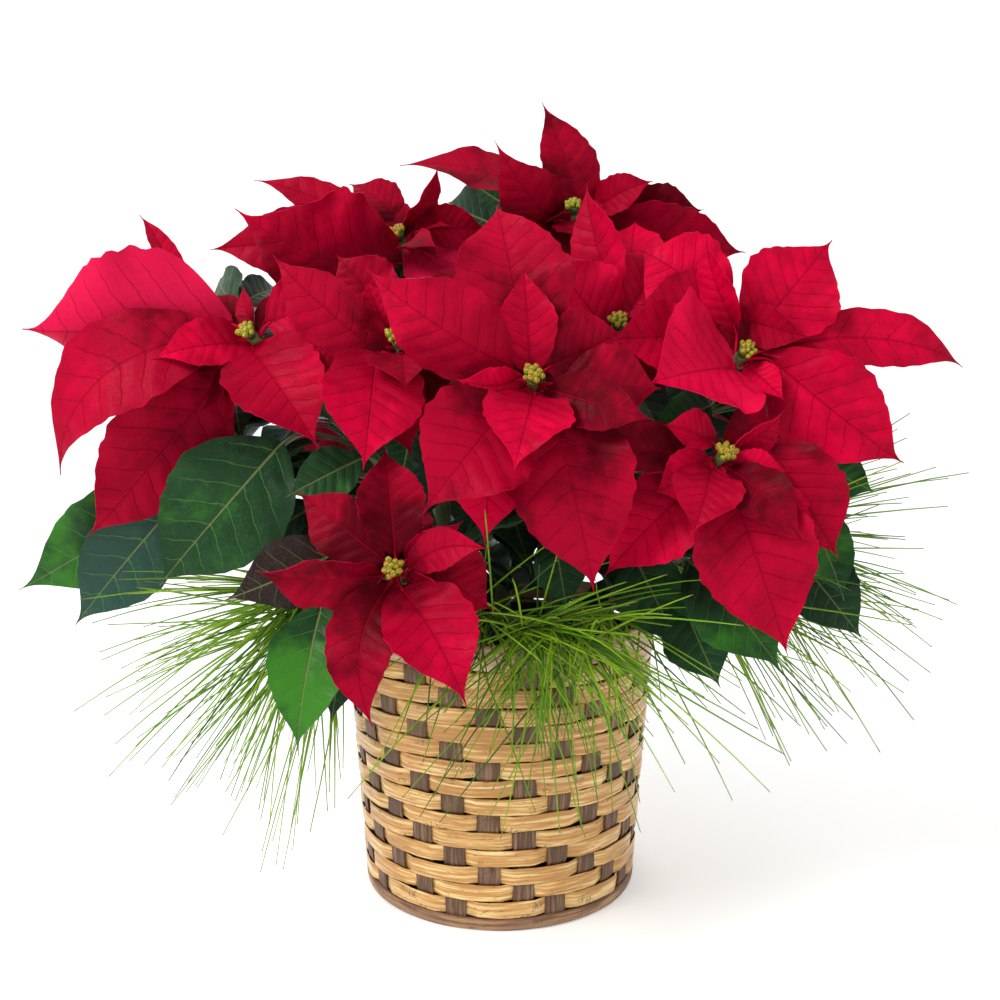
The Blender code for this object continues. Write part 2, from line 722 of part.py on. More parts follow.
def finish(obj, material, smooth_angle=None):
    """Gives a piece its material and its shading."""
    obj.data.materials.clear()
    obj.data.materials.append(material)
    if smooth_angle is not None:
        obj.data.shade_smooth()
        obj.data.set_sharp_from_angle(angle=smooth_angle)


def material_of(name, colour, roughness):
    """A plain material of one colour."""
    made = bpy.data.materials.new(name)
    made.use_nodes = True
    shader = made.node_tree.nodes["Principled BSDF"]
    shader.inputs["Base Color"].default_value = (*colour, 1.0)
    shader.inputs["Roughness"].default_value = roughness
    shader.inputs["Metallic"].default_value = 0.0
    made.diffuse_color = (*colour, 1.0)
    return made


def fuse(base, shapes):
    """Joins shapes, given as points and faces, to a base object as one body."""
    extra = collection_named(f"{base.name} shapes")
    for index, (points, faces) in enumerate(shapes):
        made = mesh_object(f"{base.name}_{index}", points, outward(points, faces), extra)
        triangulate(made.data)
    union = base.modifiers.new("Join", "BOOLEAN")
    union.operation = "UNION"
    union.operand_type = "COLLECTION"
    union.collection = extra
    for solver in ("EXACT", "MANIFOLD"):
        union.solver = solver
        graph = bpy.context.evaluated_depsgraph_get()
        joined = bpy.data.meshes.new_from_object(base.evaluated_get(graph))
        if keep_outer_body(joined):
            break
    base.modifiers.remove(union)
    base.data = joined
    for made in list(extra.objects):
        bpy.data.objects.remove(made)
    bpy.data.collections.remove(extra)


def triangulate(mesh):
    """Splits every face of a mesh into triangles."""
    work = bmesh.new()
    work.from_mesh(mesh)
    bmesh.ops.triangulate(work, faces=work.faces[:])
    work.to_mesh(mesh)
    work.free()


def keep_outer_body(mesh):
    """Keeps the largest body of a mesh, drops loose scraps and sealed hollows, and says if it is closed."""
    work = bmesh.new()
    work.from_mesh(mesh)
    bmesh.ops.triangulate(work, faces=work.faces[:])
    left, bodies = set(work.faces), []
    while left:
        start = left.pop()
        body, border = {start}, [start]
        while border:
            face = border.pop()
            for edge in face.edges:
                for other in edge.link_faces:
                    if other in left:
                        left.discard(other)
                        body.add(other)
                        border.append(other)
        bodies.append(body)
    bodies.sort(key=len, reverse=True)
    dropped = [face for body in bodies[1:] for face in body]
    bmesh.ops.delete(work, geom=dropped, context="FACES")
    closed = all(len(edge.link_faces) == 2 for edge in work.edges)
    work.to_mesh(mesh)
    work.free()
    return closed


def turned(name, profile, sides, collection):
    """A ring or cup: a closed profile of (radius, height) turned about the basket's axis."""
    mesh = bpy.data.meshes.new(name)
    points = [(radius, 0.0, height) for radius, height in profile]
    edges = [(index, (index + 1) % len(points)) for index in range(len(points))]
    on_axis = profile[0][0] == 0.0 and profile[-1][0] == 0.0
    mesh.from_pydata(points, edges[:-1] if on_axis else edges, [])
    made = bpy.data.objects.new(name, mesh)
    collection.objects.link(made)
    screw = made.modifiers.new("Turn", "SCREW")
    screw.angle = math.tau
    screw.steps = sides
    screw.render_steps = sides
    screw.use_merge_vertices = True
    screw.merge_threshold = WELD
    return made


def wall_radius(height):
    """The basket's outer radius at this height."""
    return FOOT_RADIUS + (TOP_RADIUS - FOOT_RADIUS) * height / RIM_TOP


def weave_relief(stake, row):
    """How far the wall stands out at this stake and row of the 2/1 twill."""
    hidden = (stake + row - FIRST_ROW) % 3 == 0
    return -STAKE_RELIEF if hidden else STAKE_RELIEF / 2.0


def build_wall(collection):
    """The woven wall: flat strips pass over two stakes and behind the third."""
    around = 2 * STAKES
    bottom, top = FOOT_HEIGHT + PIECE_GAP, WALL_TOP
    heights = [bottom + (top - bottom) * row / (WEAVER_ROWS - 1) for row in range(WEAVER_ROWS)]
    points, faces = [], []
    for row, height in enumerate(heights):
        for step in range(around):
            relief = (weave_relief(step // 2, row) + weave_relief((step + 1) // 2, row)) / 2.0
            points.append(ring_point(wall_radius(height) + relief - STAKE_RELIEF / 2.0, step, height))
    for height in (top, bottom):
        for step in range(around):
            inside = wall_radius(height) - WALL_THICK - STAKE_RELIEF
            points.append(ring_point(inside, step, height))
    rings = len(points) // around
    for ring in range(rings):
        above = (ring + 1) % rings
        for step in range(around):
            after = (step + 1) % around
            faces.append((ring * around + step, ring * around + after,
                          above * around + after, above * around + step))
    return mesh_object("basket_wall", points, faces, collection)


def ring_point(radius, step, height):
    """A point of the woven wall, at this half-stake step round it."""
    angle = FIRST_STAKE + math.pi * (step - 0.5) / STAKES
    return Vector((math.cos(angle) * radius, math.sin(angle) * radius, height))


def build_basket(collection, materials):
    """The basket: foot binding, floor, woven wall and rim."""
    foot = FOOT_RADIUS + 0.6 * MM
    profile = [(foot, FOOT_HEIGHT), (foot, 0.0), (foot - FOOT_THICK, 0.0), (foot - FOOT_THICK, FOOT_HEIGHT)]
    finish(turned("basket_foot", profile, RING_SIDES, collection), materials["binding"], math.radians(50))
    inside = foot - FOOT_THICK - PIECE_GAP
    bmesh_floor = bmesh.new()
    bmesh.ops.create_cone(bmesh_floor, cap_ends=True, segments=STAKES, radius1=inside, radius2=inside,
                          depth=FLOOR_THICK,
                          matrix=Matrix.Translation((0, 0, FLOOR_BOTTOM + FLOOR_THICK / 2.0)))
    mesh = bpy.data.meshes.new("basket_floor")
    bmesh_floor.to_mesh(mesh)
    bmesh_floor.free()
    floor = bpy.data.objects.new("basket_floor", mesh)
    collection.objects.link(floor)
    finish(floor, materials["stake"])
    finish(build_wall(collection), materials["weaver"])
    low = WALL_TOP + PIECE_GAP
    out = wall_radius(RIM_TOP)
    profile = [(out, RIM_TOP - 2 * MM), (out, low + 1 * MM), (out - 2 * MM, low),
               (out - RIM_THICK, low), (out - RIM_THICK, RIM_TOP - 2 * MM), (out - RIM_THICK / 2.0, RIM_TOP)]
    finish(turned("basket_rim", profile, RING_SIDES, collection), materials["rim"], math.radians(50))


def build_pot(collection, materials):
    """The grower's pot and its soil, with a plain hole for each stem."""
    profile = [(0.0, POT_BOTTOM + POT_WALL), (POT_FOOT_RADIUS - POT_WALL, POT_BOTTOM + POT_WALL),
               (POT_TOP_RADIUS - POT_WALL, POT_TOP), (POT_TOP_RADIUS, POT_TOP),
               (POT_FOOT_RADIUS, POT_BOTTOM), (0.0, POT_BOTTOM)]
    pot = turned("grow_pot", profile, STAKES, collection)
    finish(pot, materials["pot"], math.radians(40))
    share = (SOIL_TOP - POT_BOTTOM) / (POT_TOP - POT_BOTTOM)
    top = POT_FOOT_RADIUS + (POT_TOP_RADIUS - POT_FOOT_RADIUS) * share - POT_WALL - PIECE_GAP
    low = POT_FOOT_RADIUS - POT_WALL - PIECE_GAP
    work = bmesh.new()
    bmesh.ops.create_cone(work, cap_ends=True, segments=STAKES, radius1=low, radius2=top,
                          depth=SOIL_TOP - SOIL_BOTTOM,
                          matrix=Matrix.Translation((0, 0, (SOIL_TOP + SOIL_BOTTOM) / 2.0)))
    mesh = bpy.data.meshes.new("soil")
    work.to_mesh(mesh)
    work.free()
    soil = bpy.data.objects.new("soil", mesh)
    collection.objects.link(soil)
    cutters = collection_named("Stem holes")
    holes = [(Vector((x, y, 0)) * MM, MAIN_STEM_RADIUS) for x, y in PLANTS.values()]
    holes += [(Vector((*spray.foot[:2], 0)) * MM, TWIG_RADIUS) for spray in SPRAYS.values()]
    for index, (place, radius) in enumerate(holes):
        depth = STEM_DEPTH if radius == MAIN_STEM_RADIUS else TWIG_DEPTH
        ends = [place + UP * (SOIL_TOP - depth - 2 * MM), place + UP * (SOIL_TOP + 5 * MM)]
        points, faces = loft(ends, [(radius + HOLE_GAP) * 1.16] * 2, 6)
        cutter = mesh_object(f"stem_hole_{index}", points, outward(points, faces), cutters)
        cutter.hide_render = True
        cutter.display_type = "WIRE"
    cut = soil.modifiers.new("Stem holes", "BOOLEAN")
    cut.operation = "DIFFERENCE"
    cut.operand_type = "COLLECTION"
    cut.collection = cutters
    cut.solver = "EXACT"
    finish(soil, materials["soil"])


def build_heads(layout, collection, materials):
    """Each head's bracts on their hub, and its cluster of small flowers."""
    for name, (_, centre, axis) in layout.heads.items():
        top, end = layout.hubs[name]
        points, faces = loft([end, top], [HUB_RADIUS, HUB_RADIUS * 1.1], BRANCH_SIDES)
        hub = mesh_object(f"{name}_bracts", points, outward(points, faces), collection)
        shapes = []
        for blade in layout.blades:
            if blade.node == hub.name:
                shapes.append(blade_solid(blade))
        fuse(hub, shapes)
        finish(hub, materials["bract"])
        build_flowers(name, centre, axis, collection, materials)


def build_flowers(name, centre, axis, collection, materials):
    """The cluster of small yellow-green flowers, raised as two rings of buds round a middle one."""
    start = axis.orthogonal().normalized()
    other = axis.cross(start)
    around = 2 * BUDS_IN_RING
    points, faces = [centre + axis * CLUSTER_HEIGHT], []
    for ring in range(1, CLUSTER_RINGS + 1):
        polar = math.pi / 2.0 * ring / CLUSTER_RINGS
        for step in range(around):
            turn = math.tau * step / around
            bud = 1.0 + BUD_RELIEF * math.cos(BUDS_IN_RING * turn + math.pi * ring)
            radial = start * math.cos(turn) + other * math.sin(turn)
            points.append(centre + radial * (CLUSTER_RADIUS * math.sin(polar) * bud / (1.0 + BUD_RELIEF))
                          + axis * (CLUSTER_HEIGHT * math.cos(polar)))
    low = centre - axis * (FLOWER_CLEARANCE - PIECE_GAP)
    for step in range(around):
        turn = math.tau * step / around
        points.append(low + (start * math.cos(turn) + other * math.sin(turn)) * (CLUSTER_RADIUS * 0.5))
    for step in range(around):
        after = (step + 1) % around
        faces.append((0, 1 + step, 1 + after))
        for ring in range(CLUSTER_RINGS):
            upper, lower = 1 + ring * around, 1 + (ring + 1) * around
            faces.append((upper + step, lower + step, lower + after))
            faces.append((upper + step, lower + after, upper + after))
    faces.append(tuple(reversed(range(1 + CLUSTER_RINGS * around, 1 + (CLUSTER_RINGS + 1) * around))))
    flowers = mesh_object(f"{name}_flowers", points, outward(points, faces), collection)
    finish(flowers, materials["flower"])


def build_plants(layout, collection, materials):
    """Each plant's stems with its green leaves."""
    for plant, paths in layout.stems.items():
        path, radius = paths[0]
        points, faces = loft(path, [radius] * len(path), BRANCH_SIDES + 2)
        stem = mesh_object(f"{plant}_plant", points, outward(points, faces), collection)
        shapes = [loft(path, [radius * 1.25] + [radius] * (len(path) - 1), BRANCH_SIDES)
                  for path, radius in paths[1:]]
        for blade in layout.blades:
            if blade.node == stem.name:
                shapes.append(blade_solid(blade))
        fuse(stem, shapes)
        finish(stem, materials["leaf"])


def needle_shape(start, way, length, droop):
    """A three-sided needle."""
    tip = start + (way - UP * droop).normalized() * length
    return loft([start, tip], [NEEDLE_ROOT_RADIUS, NEEDLE_TIP_RADIUS], 3)


def build_sprays(layout, collection, materials):
    """Each pine spray: a twig with long needles that stay clear of everything else."""
    graph = bpy.context.evaluated_depsgraph_get()
    others, names = [], [obj.name for obj in collection.objects]
    for obj in collection.objects:
        mesh = obj.evaluated_get(graph).to_mesh()
        mesh.calc_loop_triangles()
        others.append(BVHTree.FromPolygons([vert.co.copy() for vert in mesh.vertices],
                                           [tuple(tri.vertices) for tri in mesh.loop_triangles]))
    made = []
    for name, spray in SPRAYS.items():
        draw = random.Random(f"{SEED} spray {name}")
        foot, bend, end = (Vector(place) * MM for place in (spray.foot, spray.bend, spray.end))
        buried = foot - UP * (foot.z - SOIL_TOP + TWIG_DEPTH)
        twig = [buried, foot + UP * (4 * MM), bend, end]
        points, faces = loft(twig, [TWIG_RADIUS, TWIG_RADIUS, TWIG_RADIUS * 0.9, TWIG_RADIUS * 0.5], 6)
        base = mesh_object(f"pine_spray_{name}", points, outward(points, faces), collection)
        along = (end - bend).normalized()
        shapes, trees, outers, tries = [], [], [], 0
        while len(shapes) < spray.needles and tries < NEEDLE_TRIES:
            tries += 1
            share = draw.random() ** 0.7
            start = bend.lerp(end, share)
            side = Vector((draw.gauss(0, 1), draw.gauss(0, 1), draw.gauss(0, 1)))
            side = square_to(side, along)
            spread = math.radians(draw.uniform(18, 58) * (1.15 - 0.5 * share))
            way = along * math.cos(spread) + side * math.sin(spread)
            length = spray.length * MM * draw.uniform(0.75, 1.1)
            shape = needle_shape(start, way, length, NEEDLE_BEND * draw.uniform(0.3, 1.6))
            tree = tree_of(*shape)
            outer = tree_of(*needle_shape(start + way * (0.12 * length), way, 0.88 * length, 0.0))
            if any(tree.overlap(other) for other in others + made):
                continue
            if any(outer.overlap(other) for other in outers):
                continue
            outers.append(outer)
            shapes.append(shape)
            trees.append(tree)
        made += trees
        fuse(base, shapes)
        finish(base, materials["needle"])
        made.append(tree_of([vert.co.copy() for vert in base.data.vertices],
                            [tuple(poly.vertices) for poly in base.data.polygons]))
        clash = [name for name, other in zip(names, others) if made[-1].overlap(other)]
        print(base.name, len(shapes), "needles", clash)


def main():
    """Builds the whole object."""
    for obj in list(bpy.data.objects):
        bpy.data.objects.remove(obj)
    collection = collection_named("Poinsettia in a basket")
    materials = {
        "weaver": material_of("Tan weaver strip", (0.72, 0.47, 0.19), 0.45),
        "stake": material_of("Brown stake", (0.16, 0.08, 0.04), 0.55),
        "rim": material_of("Rim strip", (0.62, 0.40, 0.22), 0.45),
        "binding": material_of("Foot binding", (0.38, 0.19, 0.08), 0.55),
        "pot": material_of("Pot plastic", (0.05, 0.05, 0.05), 0.5),
        "soil": material_of("Soil", (0.05, 0.03, 0.02), 0.95),
        "bract": material_of("Red bract", (0.58, 0.0, 0.03), 0.45),
        "leaf": material_of("Green leaf", (0.02, 0.10, 0.04), 0.5),
        "flower": material_of("Yellow flower", (0.62, 0.55, 0.05), 0.5),
        "needle": material_of("Pine needle", (0.25, 0.42, 0.04), 0.5),
    }
    build_basket(collection, materials)
    build_pot(collection, materials)
    layout = build_layout()
    build_plants(layout, collection, materials)
    build_heads(layout, collection, materials)
    build_sprays(layout, collection, materials)


if __name__ == "__main__":
    main()
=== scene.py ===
"""The looks of a poinsettia in bloom, with long pine needles, in a round woven basket.

Metres, +Z up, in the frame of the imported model, whose front faces -Y. The plant's blades are laid
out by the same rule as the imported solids, and then given their fine form, veins and colours.
"""

import logging
import math
import random
from collections.abc import Callable, Iterator, Sequence
from dataclasses import dataclass, field
from enum import Enum

import bpy
import numpy as np
from mathutils import Matrix, Vector
from mathutils.bvhtree import BVHTree


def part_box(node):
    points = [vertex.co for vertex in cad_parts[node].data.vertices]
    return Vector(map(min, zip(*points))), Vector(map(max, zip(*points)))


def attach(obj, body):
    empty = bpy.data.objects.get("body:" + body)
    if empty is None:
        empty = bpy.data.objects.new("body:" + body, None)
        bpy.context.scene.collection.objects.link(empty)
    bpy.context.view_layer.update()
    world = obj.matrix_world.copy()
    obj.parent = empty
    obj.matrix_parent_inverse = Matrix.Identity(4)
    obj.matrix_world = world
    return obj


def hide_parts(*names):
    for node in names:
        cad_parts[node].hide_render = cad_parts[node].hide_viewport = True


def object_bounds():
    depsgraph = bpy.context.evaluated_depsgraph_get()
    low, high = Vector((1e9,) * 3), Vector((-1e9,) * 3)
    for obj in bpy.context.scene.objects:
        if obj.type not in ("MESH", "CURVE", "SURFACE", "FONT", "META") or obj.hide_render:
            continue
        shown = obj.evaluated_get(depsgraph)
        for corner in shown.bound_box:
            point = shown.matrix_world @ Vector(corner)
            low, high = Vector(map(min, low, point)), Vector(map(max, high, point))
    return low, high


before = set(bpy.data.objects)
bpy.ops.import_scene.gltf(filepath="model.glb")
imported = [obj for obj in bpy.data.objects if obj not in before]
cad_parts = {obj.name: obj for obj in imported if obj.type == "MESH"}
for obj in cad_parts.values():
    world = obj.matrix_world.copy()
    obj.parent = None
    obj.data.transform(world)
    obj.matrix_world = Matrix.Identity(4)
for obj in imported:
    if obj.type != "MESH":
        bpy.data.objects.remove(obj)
PACKED_BOX = [list(corner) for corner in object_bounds()]
LOG = logging.getLogger("poinsettia")

MM = 0.001
SEED = 1225
EYE = Vector((0.0, -0.78, 0.371))
UP = Vector((0.0, 0.0, 1.0))
ORIGIN = (0, 0, 0)
BODY = "root"
STEM_TONE = 0.5

Triple = tuple[float, float, float]
Face = tuple[int, ...]
Shape = tuple[list[Vector], list[Face]]


@dataclass(frozen=True)
class BasketSizes:
    """The basket's main sizes, as packed."""

    foot_radius: float = 0.0955
    top_radius: float = 0.1090
    foot_height: float = 0.009
    wall_top: float = 0.176
    rim_top: float = 0.1945
    stakes: int = 27
    rows: int = 14
    first_stake: float = math.radians(-94.3)
    first_row: int = 5
    soil_top: float = 0.162
    stem_depth: float = 0.055

    def radius(self, height: float) -> float:
        """The basket's outer radius at this height."""
        return self.foot_radius + (self.top_radius - self.foot_radius) * height / self.rim_top


@dataclass(frozen=True)
class PlantSizes:
    """The plants' main sizes, as packed."""

    main_stem_radius: float = 0.0062
    fork_height: float = 0.222
    branch_radius: float = 0.0034
    branch_sides: int = 5
    branch_steps: int = 3
    hub_radius: float = 0.0034
    hub_length: float = 0.018
    root_drop: float = 0.004
    root_margin: float = 0.002
    flower_clearance: float = 0.0062
    stalk_width: float = 0.0026
    stalk_thick: float = 0.0020
    blade_thick: float = 0.0008
    rib_thick: float = 0.0013
    edge_ripple: float = 0.035
    small_width: float = 0.031
    clearance: float = 0.0009
    cluster_radius: float = 0.0066
    cluster_height: float = 0.0050
    piece_gap: float = 0.0005
    settle_rounds: int = 200
    lower_steps: int = 8
    settle_step: float = 0.0016
    most_stretch: float = 1.15


BASKET = BasketSizes()
PLANT = PlantSizes()
BLADE_STATIONS = ((0.0, 0.08), (0.20, 0.78), (0.46, 1.0), (0.76, 0.54))
SMALL_STATIONS = ((0.0, 0.10), (0.36, 1.0), (0.74, 0.66))


@dataclass(frozen=True)
class Blade:
    """A bract or leaf. base and tip are (across, up, near) in mm from the head's centre.

    roll turns the blade about the line from base to tip, in degrees: at 0 its face looks at EYE,
    and past 90 its back does. bow lifts the middle towards the face and sweep moves it sideways,
    both as shares of the length. fold raises both edges towards the face, in degrees.
    """

    base: Triple
    tip: Triple
    width: float
    roll: float = 0.0
    bow: float = 0.08
    sweep: float = 0.0
    fold: float = 10.0


@dataclass(frozen=True)
class Head:
    """A flower head: its plant, its centre, the way it faces, and its bracts."""

    plant: str
    centre: Triple
    faces: Triple
    bracts: tuple[Blade, ...]


@dataclass(frozen=True)
class Whorl:
    """A flower head out of the front view, at a real place in mm, with bracts set round it."""

    plant: str
    centre: Triple
    faces: Triple
    bracts: int
    reach: float


@dataclass(frozen=True)
class LeafRing:
    """Leaves behind, fanned round the plants: angles from +X in degrees, sizes in mm."""

    plant: str
    angles: tuple[float, ...]
    height: float
    radius: float
    length: float
    droop: float


@dataclass(frozen=True)
class Spray:
    """A pine spray's twig: its foot in the soil, where its bare part ends, and its end, in mm."""

    foot: Triple
    bend: Triple
    end: Triple


# The heads that show from the front, from the left to the right
HEADS = {
    "far_left": Head("left", (-174, 387, 95), (-0.35, -0.75, 0.55), (
        Blade((-6, -3, 5), (46, -79, 40), 62, roll=-8, bow=0.10, fold=20),
        Blade((-10, 3, 2), (-71, -14, 23), 34, roll=25, bow=0.10, fold=22),
        Blade((-13, 0, -3), (-138, -102, 4), 60, roll=28, bow=0.20, sweep=-0.13, fold=6),
        Blade((-15, 12, -12), (-155, 1, -40), 104, roll=152, bow=-0.06, fold=26),
        Blade((-17, -29, -10), (-117, -145, 5), 72, roll=-10, fold=8),
        Blade((11, 8, -3), (64, 21, -10), 44, roll=-10, bow=0.10, fold=14),
        Blade((-22, -7, -20), (-136, -44, -58), 56, roll=160),
        Blade((-46, 26, -34), (-71, 79, -66), 18, roll=30, bow=0.06, fold=16),
    )),
    "upper_left": Head("left", (-70, 453, 30), (-0.30, -0.55, 0.80), (
        Blade((-7, 4, 6), (-104, 32, 36), 96, roll=-38, bow=0.14, sweep=0.03, fold=-8),
        Blade((-3, 13, -8), (29, 44, -12), 26, roll=58, fold=14),
        Blade((4, 7, 2), (43, -24, 32), 40, roll=140, bow=0.14),
        Blade((-8, 14, -16), (-97, 38, -34), 28, roll=30, bow=0.02, fold=8),
        Blade((-1, 17, -24), (-32, 32, -40), 36, roll=40, bow=0.12, fold=8),
        Blade((-13, -6, -16), (-129, -11, -8), 48, roll=10, fold=8),
        Blade((10, 6, -8), (62, 3, -16), 34, roll=4, bow=0.08, fold=8),
    )),
    "left": Head("left", (-72, 384, 120), (-0.10, -0.85, 0.50), (
        Blade((-10, -2, 4), (-83, 62, 8), 42, roll=-14, bow=0.12, fold=14),
        Blade((-15, -5, 4), (-23, -93, 45), 60, bow=0.10),
        Blade((2, -6, 4), (6, -34, 40), 42, bow=0.14),
        Blade((-6, 3, -2), (-22, 43, -2), 24, roll=5, bow=0.06, fold=18),
        Blade((-1, 12, -12), (-40, 55, -16), 42, roll=-8, bow=0.10, fold=8),
        Blade((-31, -7, -20), (-72, -10, -22), 52, roll=10, fold=8),
    )),
    "lower_left": Head("left", (-76, 221, 172), (-0.08, -0.93, 0.36), (
        Blade((-10, -3, 2), (-98, -3, 24), 38, roll=-42, bow=0.06, fold=16),
        Blade((-4, -10, 4), (-16, -117, 34), 40, roll=14, bow=0.14, sweep=-0.12),
        Blade((4, -13, 4), (53, -102, 32), 50, roll=-8, bow=0.14, sweep=0.02, fold=12),
        Blade((7, -4, 6), (33, -48, 24), 22, roll=36, bow=0.10, sweep=0.26, fold=14),
        Blade((10, 0, 4), (69, 14, 18), 24, roll=-10, bow=0.10, sweep=0.12, fold=12),
        Blade((7, 8, 0), (50, 34, 4), 20, roll=14, bow=0.06, fold=14),
        Blade((1, 11, -6), (-5, 87, -24), 40, roll=4, bow=0.06, fold=14),
        Blade((-7, 7, -8), (-66, 55, -30), 36, roll=-6, bow=0.06),
        Blade((13, 8, -10), (70, -30, -14), 50, roll=-6),
    )),
    "centre": Head("middle", (23, 357, 155), (0.0, -0.90, 0.42), (
        Blade((2, -6, 5), (-13, -60, 45), 49, roll=4, bow=0.14),
        Blade((-10, 3, 3), (-54, -2, 23), 23, roll=-10, bow=0.12, sweep=0.08, fold=12),
        Blade((-15, 8, -1), (-117, 72, 21), 56, roll=-16, bow=0.10, fold=-14),
        Blade((-1, 7, -1), (-7, 78, -5), 34, roll=2, bow=0.06, fold=16),
        Blade((-9, -11, -3), (-78, -97, 29), 66, roll=4, bow=0.12, fold=8),
        Blade((-4, 15, -11), (-26, 118, -47), 68, roll=4, fold=8),
        Blade((9, 6, -7), (62, 31, -27), 50, roll=8, fold=8),
        Blade((19, -6, -5), (90, -10, -17), 50, roll=4, bow=0.10, fold=-14),
        Blade((10, -15, -7), (45, -155, 21), 72, roll=-6, bow=0.12, fold=8),
        Blade((-27, -24, -17), (-34, -120, 5), 48, bow=0.10),
    )),
    "top": Head("middle", (50, 471, 5), (-0.05, -0.50, 0.85), (
        Blade((-13, -1, 9), (-54, 43, 45), 40, roll=-14, bow=0.18, fold=-10),
        Blade((-8, 13, 3), (-118, 29, 13), 44, roll=54, bow=0.12, fold=8),
        Blade((8, 15, -5), (-22, 72, 1), 40, roll=20, bow=0.06, fold=18),
        Blade((-3, 7, 2), (-18, 42, 14), 28, roll=-18, bow=0.08, fold=16),
        Blade((3, -6, 11), (10, -24, 55), 32, bow=0.18),
        Blade((14, 6, -3), (54, 17, 13), 28, roll=-26, bow=0.10, fold=16),
        Blade((18, -2, -9), (90, -3, -17), 44, roll=20, fold=8),
        Blade((15, -12, -7), (118, -31, -15), 54, roll=16, fold=8),
        Blade((-13, -6, 5), (-46, -6, 35), 44, roll=-12, bow=0.12, fold=8),
    )),
    "upper_right": Head("middle", (81, 394, 80), (0.10, -0.75, 0.62), (
        Blade((-2, 6, 2), (-50, 52, 20), 54, roll=26, bow=0.06, fold=16),
        Blade((1, 11, -6), (-24, 92, -34), 36, roll=-22, bow=0.06, fold=12),
        Blade((6, 12, -14), (12, 76, -46), 46, roll=-6, fold=8),
        Blade((7, 6, -8), (35, 49, -40), 46, roll=-8, fold=8),
    )),
    "right": Head("right", (170, 374, 100), (0.30, -0.80, 0.52), (
        Blade((-4, -8, 6), (-66, -22, 46), 88, roll=28, bow=0.06, fold=27),
        Blade((6, -3, 2), (31, -33, 18), 20, roll=-20, bow=0.10, fold=14),
        Blade((9, 14, -6), (56, 74, -14), 62, fold=14),
        Blade((13, 3, -6), (155, -12, -8), 38, roll=-20, bow=0.12, sweep=0.06, fold=12),
        Blade((15, -4, -10), (113, -80, 0), 64, roll=6, bow=0.10, fold=8),
        Blade((-3, 20, -8), (-31, 76, -12), 26, roll=-30, fold=16),
        Blade((-8, 27, -16), (45, 8, 4), 26, roll=18, bow=0.06),
        Blade((-13, 20, -18), (-79, 31, -26), 52, roll=10, bow=0.12, fold=8),
        Blade((-15, 27, -28), (-76, 69, -44), 58, roll=12, bow=0.14, fold=8),
        Blade((-24, 6, -16), (-99, 7, -4), 46, roll=16, fold=12),
    )),
    "lower_right": Head("right", (158, 303, 150), (0.18, -0.88, 0.44), (
        Blade((-5, -6, 6), (-21, -57, 28), 40, roll=-4, bow=0.12, fold=12),
        Blade((7, -3, 2), (47, -10, 10), 22, roll=-6, bow=0.10, fold=14),
        Blade((3, -15, 0), (49, -146, 22), 66, roll=-4, bow=0.10, fold=8),
        Blade((4, 7, 0), (45, 35, 4), 24, roll=50, bow=0.12, fold=16),
        Blade((-10, 0, 0), (-50, -28, 2), 34, roll=-20, bow=0.16, fold=18),
        Blade((13, -13, -8), (51, -86, 0), 44, roll=-8, fold=8),
        Blade((28, 10, -12), (81, -75, 0), 54, roll=-8, fold=8),
        Blade((-16, -17, -12), (-85, -88, -4), 54, roll=12, bow=0.10, fold=12),
        Blade((-8, 8, -8), (-44, 20, -10), 26, roll=30, bow=0.14, fold=18),
    )),
}

# The heads behind, at real places
WHORLS = {
    "back_left": Whorl("left", (-124, 98, 346), (-0.58, 0.55, 0.62), 7, 88),
    "back_middle": Whorl("middle", (4, 158, 322), (0.0, 0.80, 0.60), 7, 96),
    "back_top": Whorl("middle", (6, 96, 422), (-0.05, 0.55, 0.83), 6, 84),
    "back_right": Whorl("right", (134, 92, 352), (0.58, 0.55, 0.60), 7, 92),
}

# Where each plant's stem stands in the soil, in mm
PLANTS = {"left": (-36, -14), "middle": (2, 30), "right": (38, -14)}

# Green leaves that show from the front
LEAVES = {
    "left": (
        Blade((-200, 291, 40), (-343, 204, 62), 64, roll=-6, bow=0.10),
        Blade((-214, 282, 62), (-304, 178, 80), 58, roll=8),
        Blade((-152, 310, 92), (-243, 207, 112), 76, roll=4, bow=0.10),
        Blade((-97, 299, 112), (-150, 272, 124), 32, roll=6),
        Blade((-105, 238, 122), (-196, 198, 136), 42, roll=170, bow=-0.10),
        Blade((-126, 196, 134), (-147, 86, 172), 46, roll=10, bow=0.14),
        Blade((-112, 198, 118), (-122, 106, 142), 34, roll=-12, bow=0.10),
        Blade((-60, 326, 96), (-70, 280, 112), 26, roll=4),
    ),
    "middle": (
        Blade((38, 248, 98), (48, 189, 112), 32, roll=4),
        Blade((48, 325, 108), (98, 303, 118), 32, roll=-8),
    ),
    "right": (
        Blade((146, 336, 100), (104, 318, 112), 34, roll=-16, fold=14),
        Blade((133, 227, 122), (201, 146, 146), 60, roll=-20, fold=18),
        Blade((128, 200, 114), (158, 134, 134), 42, roll=6),
        Blade((94, 232, 100), (130, 164, 116), 46, roll=10),
        Blade((214, 300, 84), (263, 275, 96), 32, roll=4),
        Blade((215, 270, 80), (245, 197, 98), 36, roll=-4),
        Blade((200, 240, 70), (259, 169, 88), 46, roll=-6),
    ),
}

# Leaves behind
LEAF_RINGS = (
    LeafRing("left", (132, 158, 184), 286, 112, 104, 30),
    LeafRing("left", (150,), 236, 96, 96, 42),
    LeafRing("middle", (76, 104), 262, 100, 106, 34),
    LeafRing("right", (-4, 24, 50), 282, 112, 104, 30),
    LeafRing("right", (24,), 236, 96, 96, 42),
)

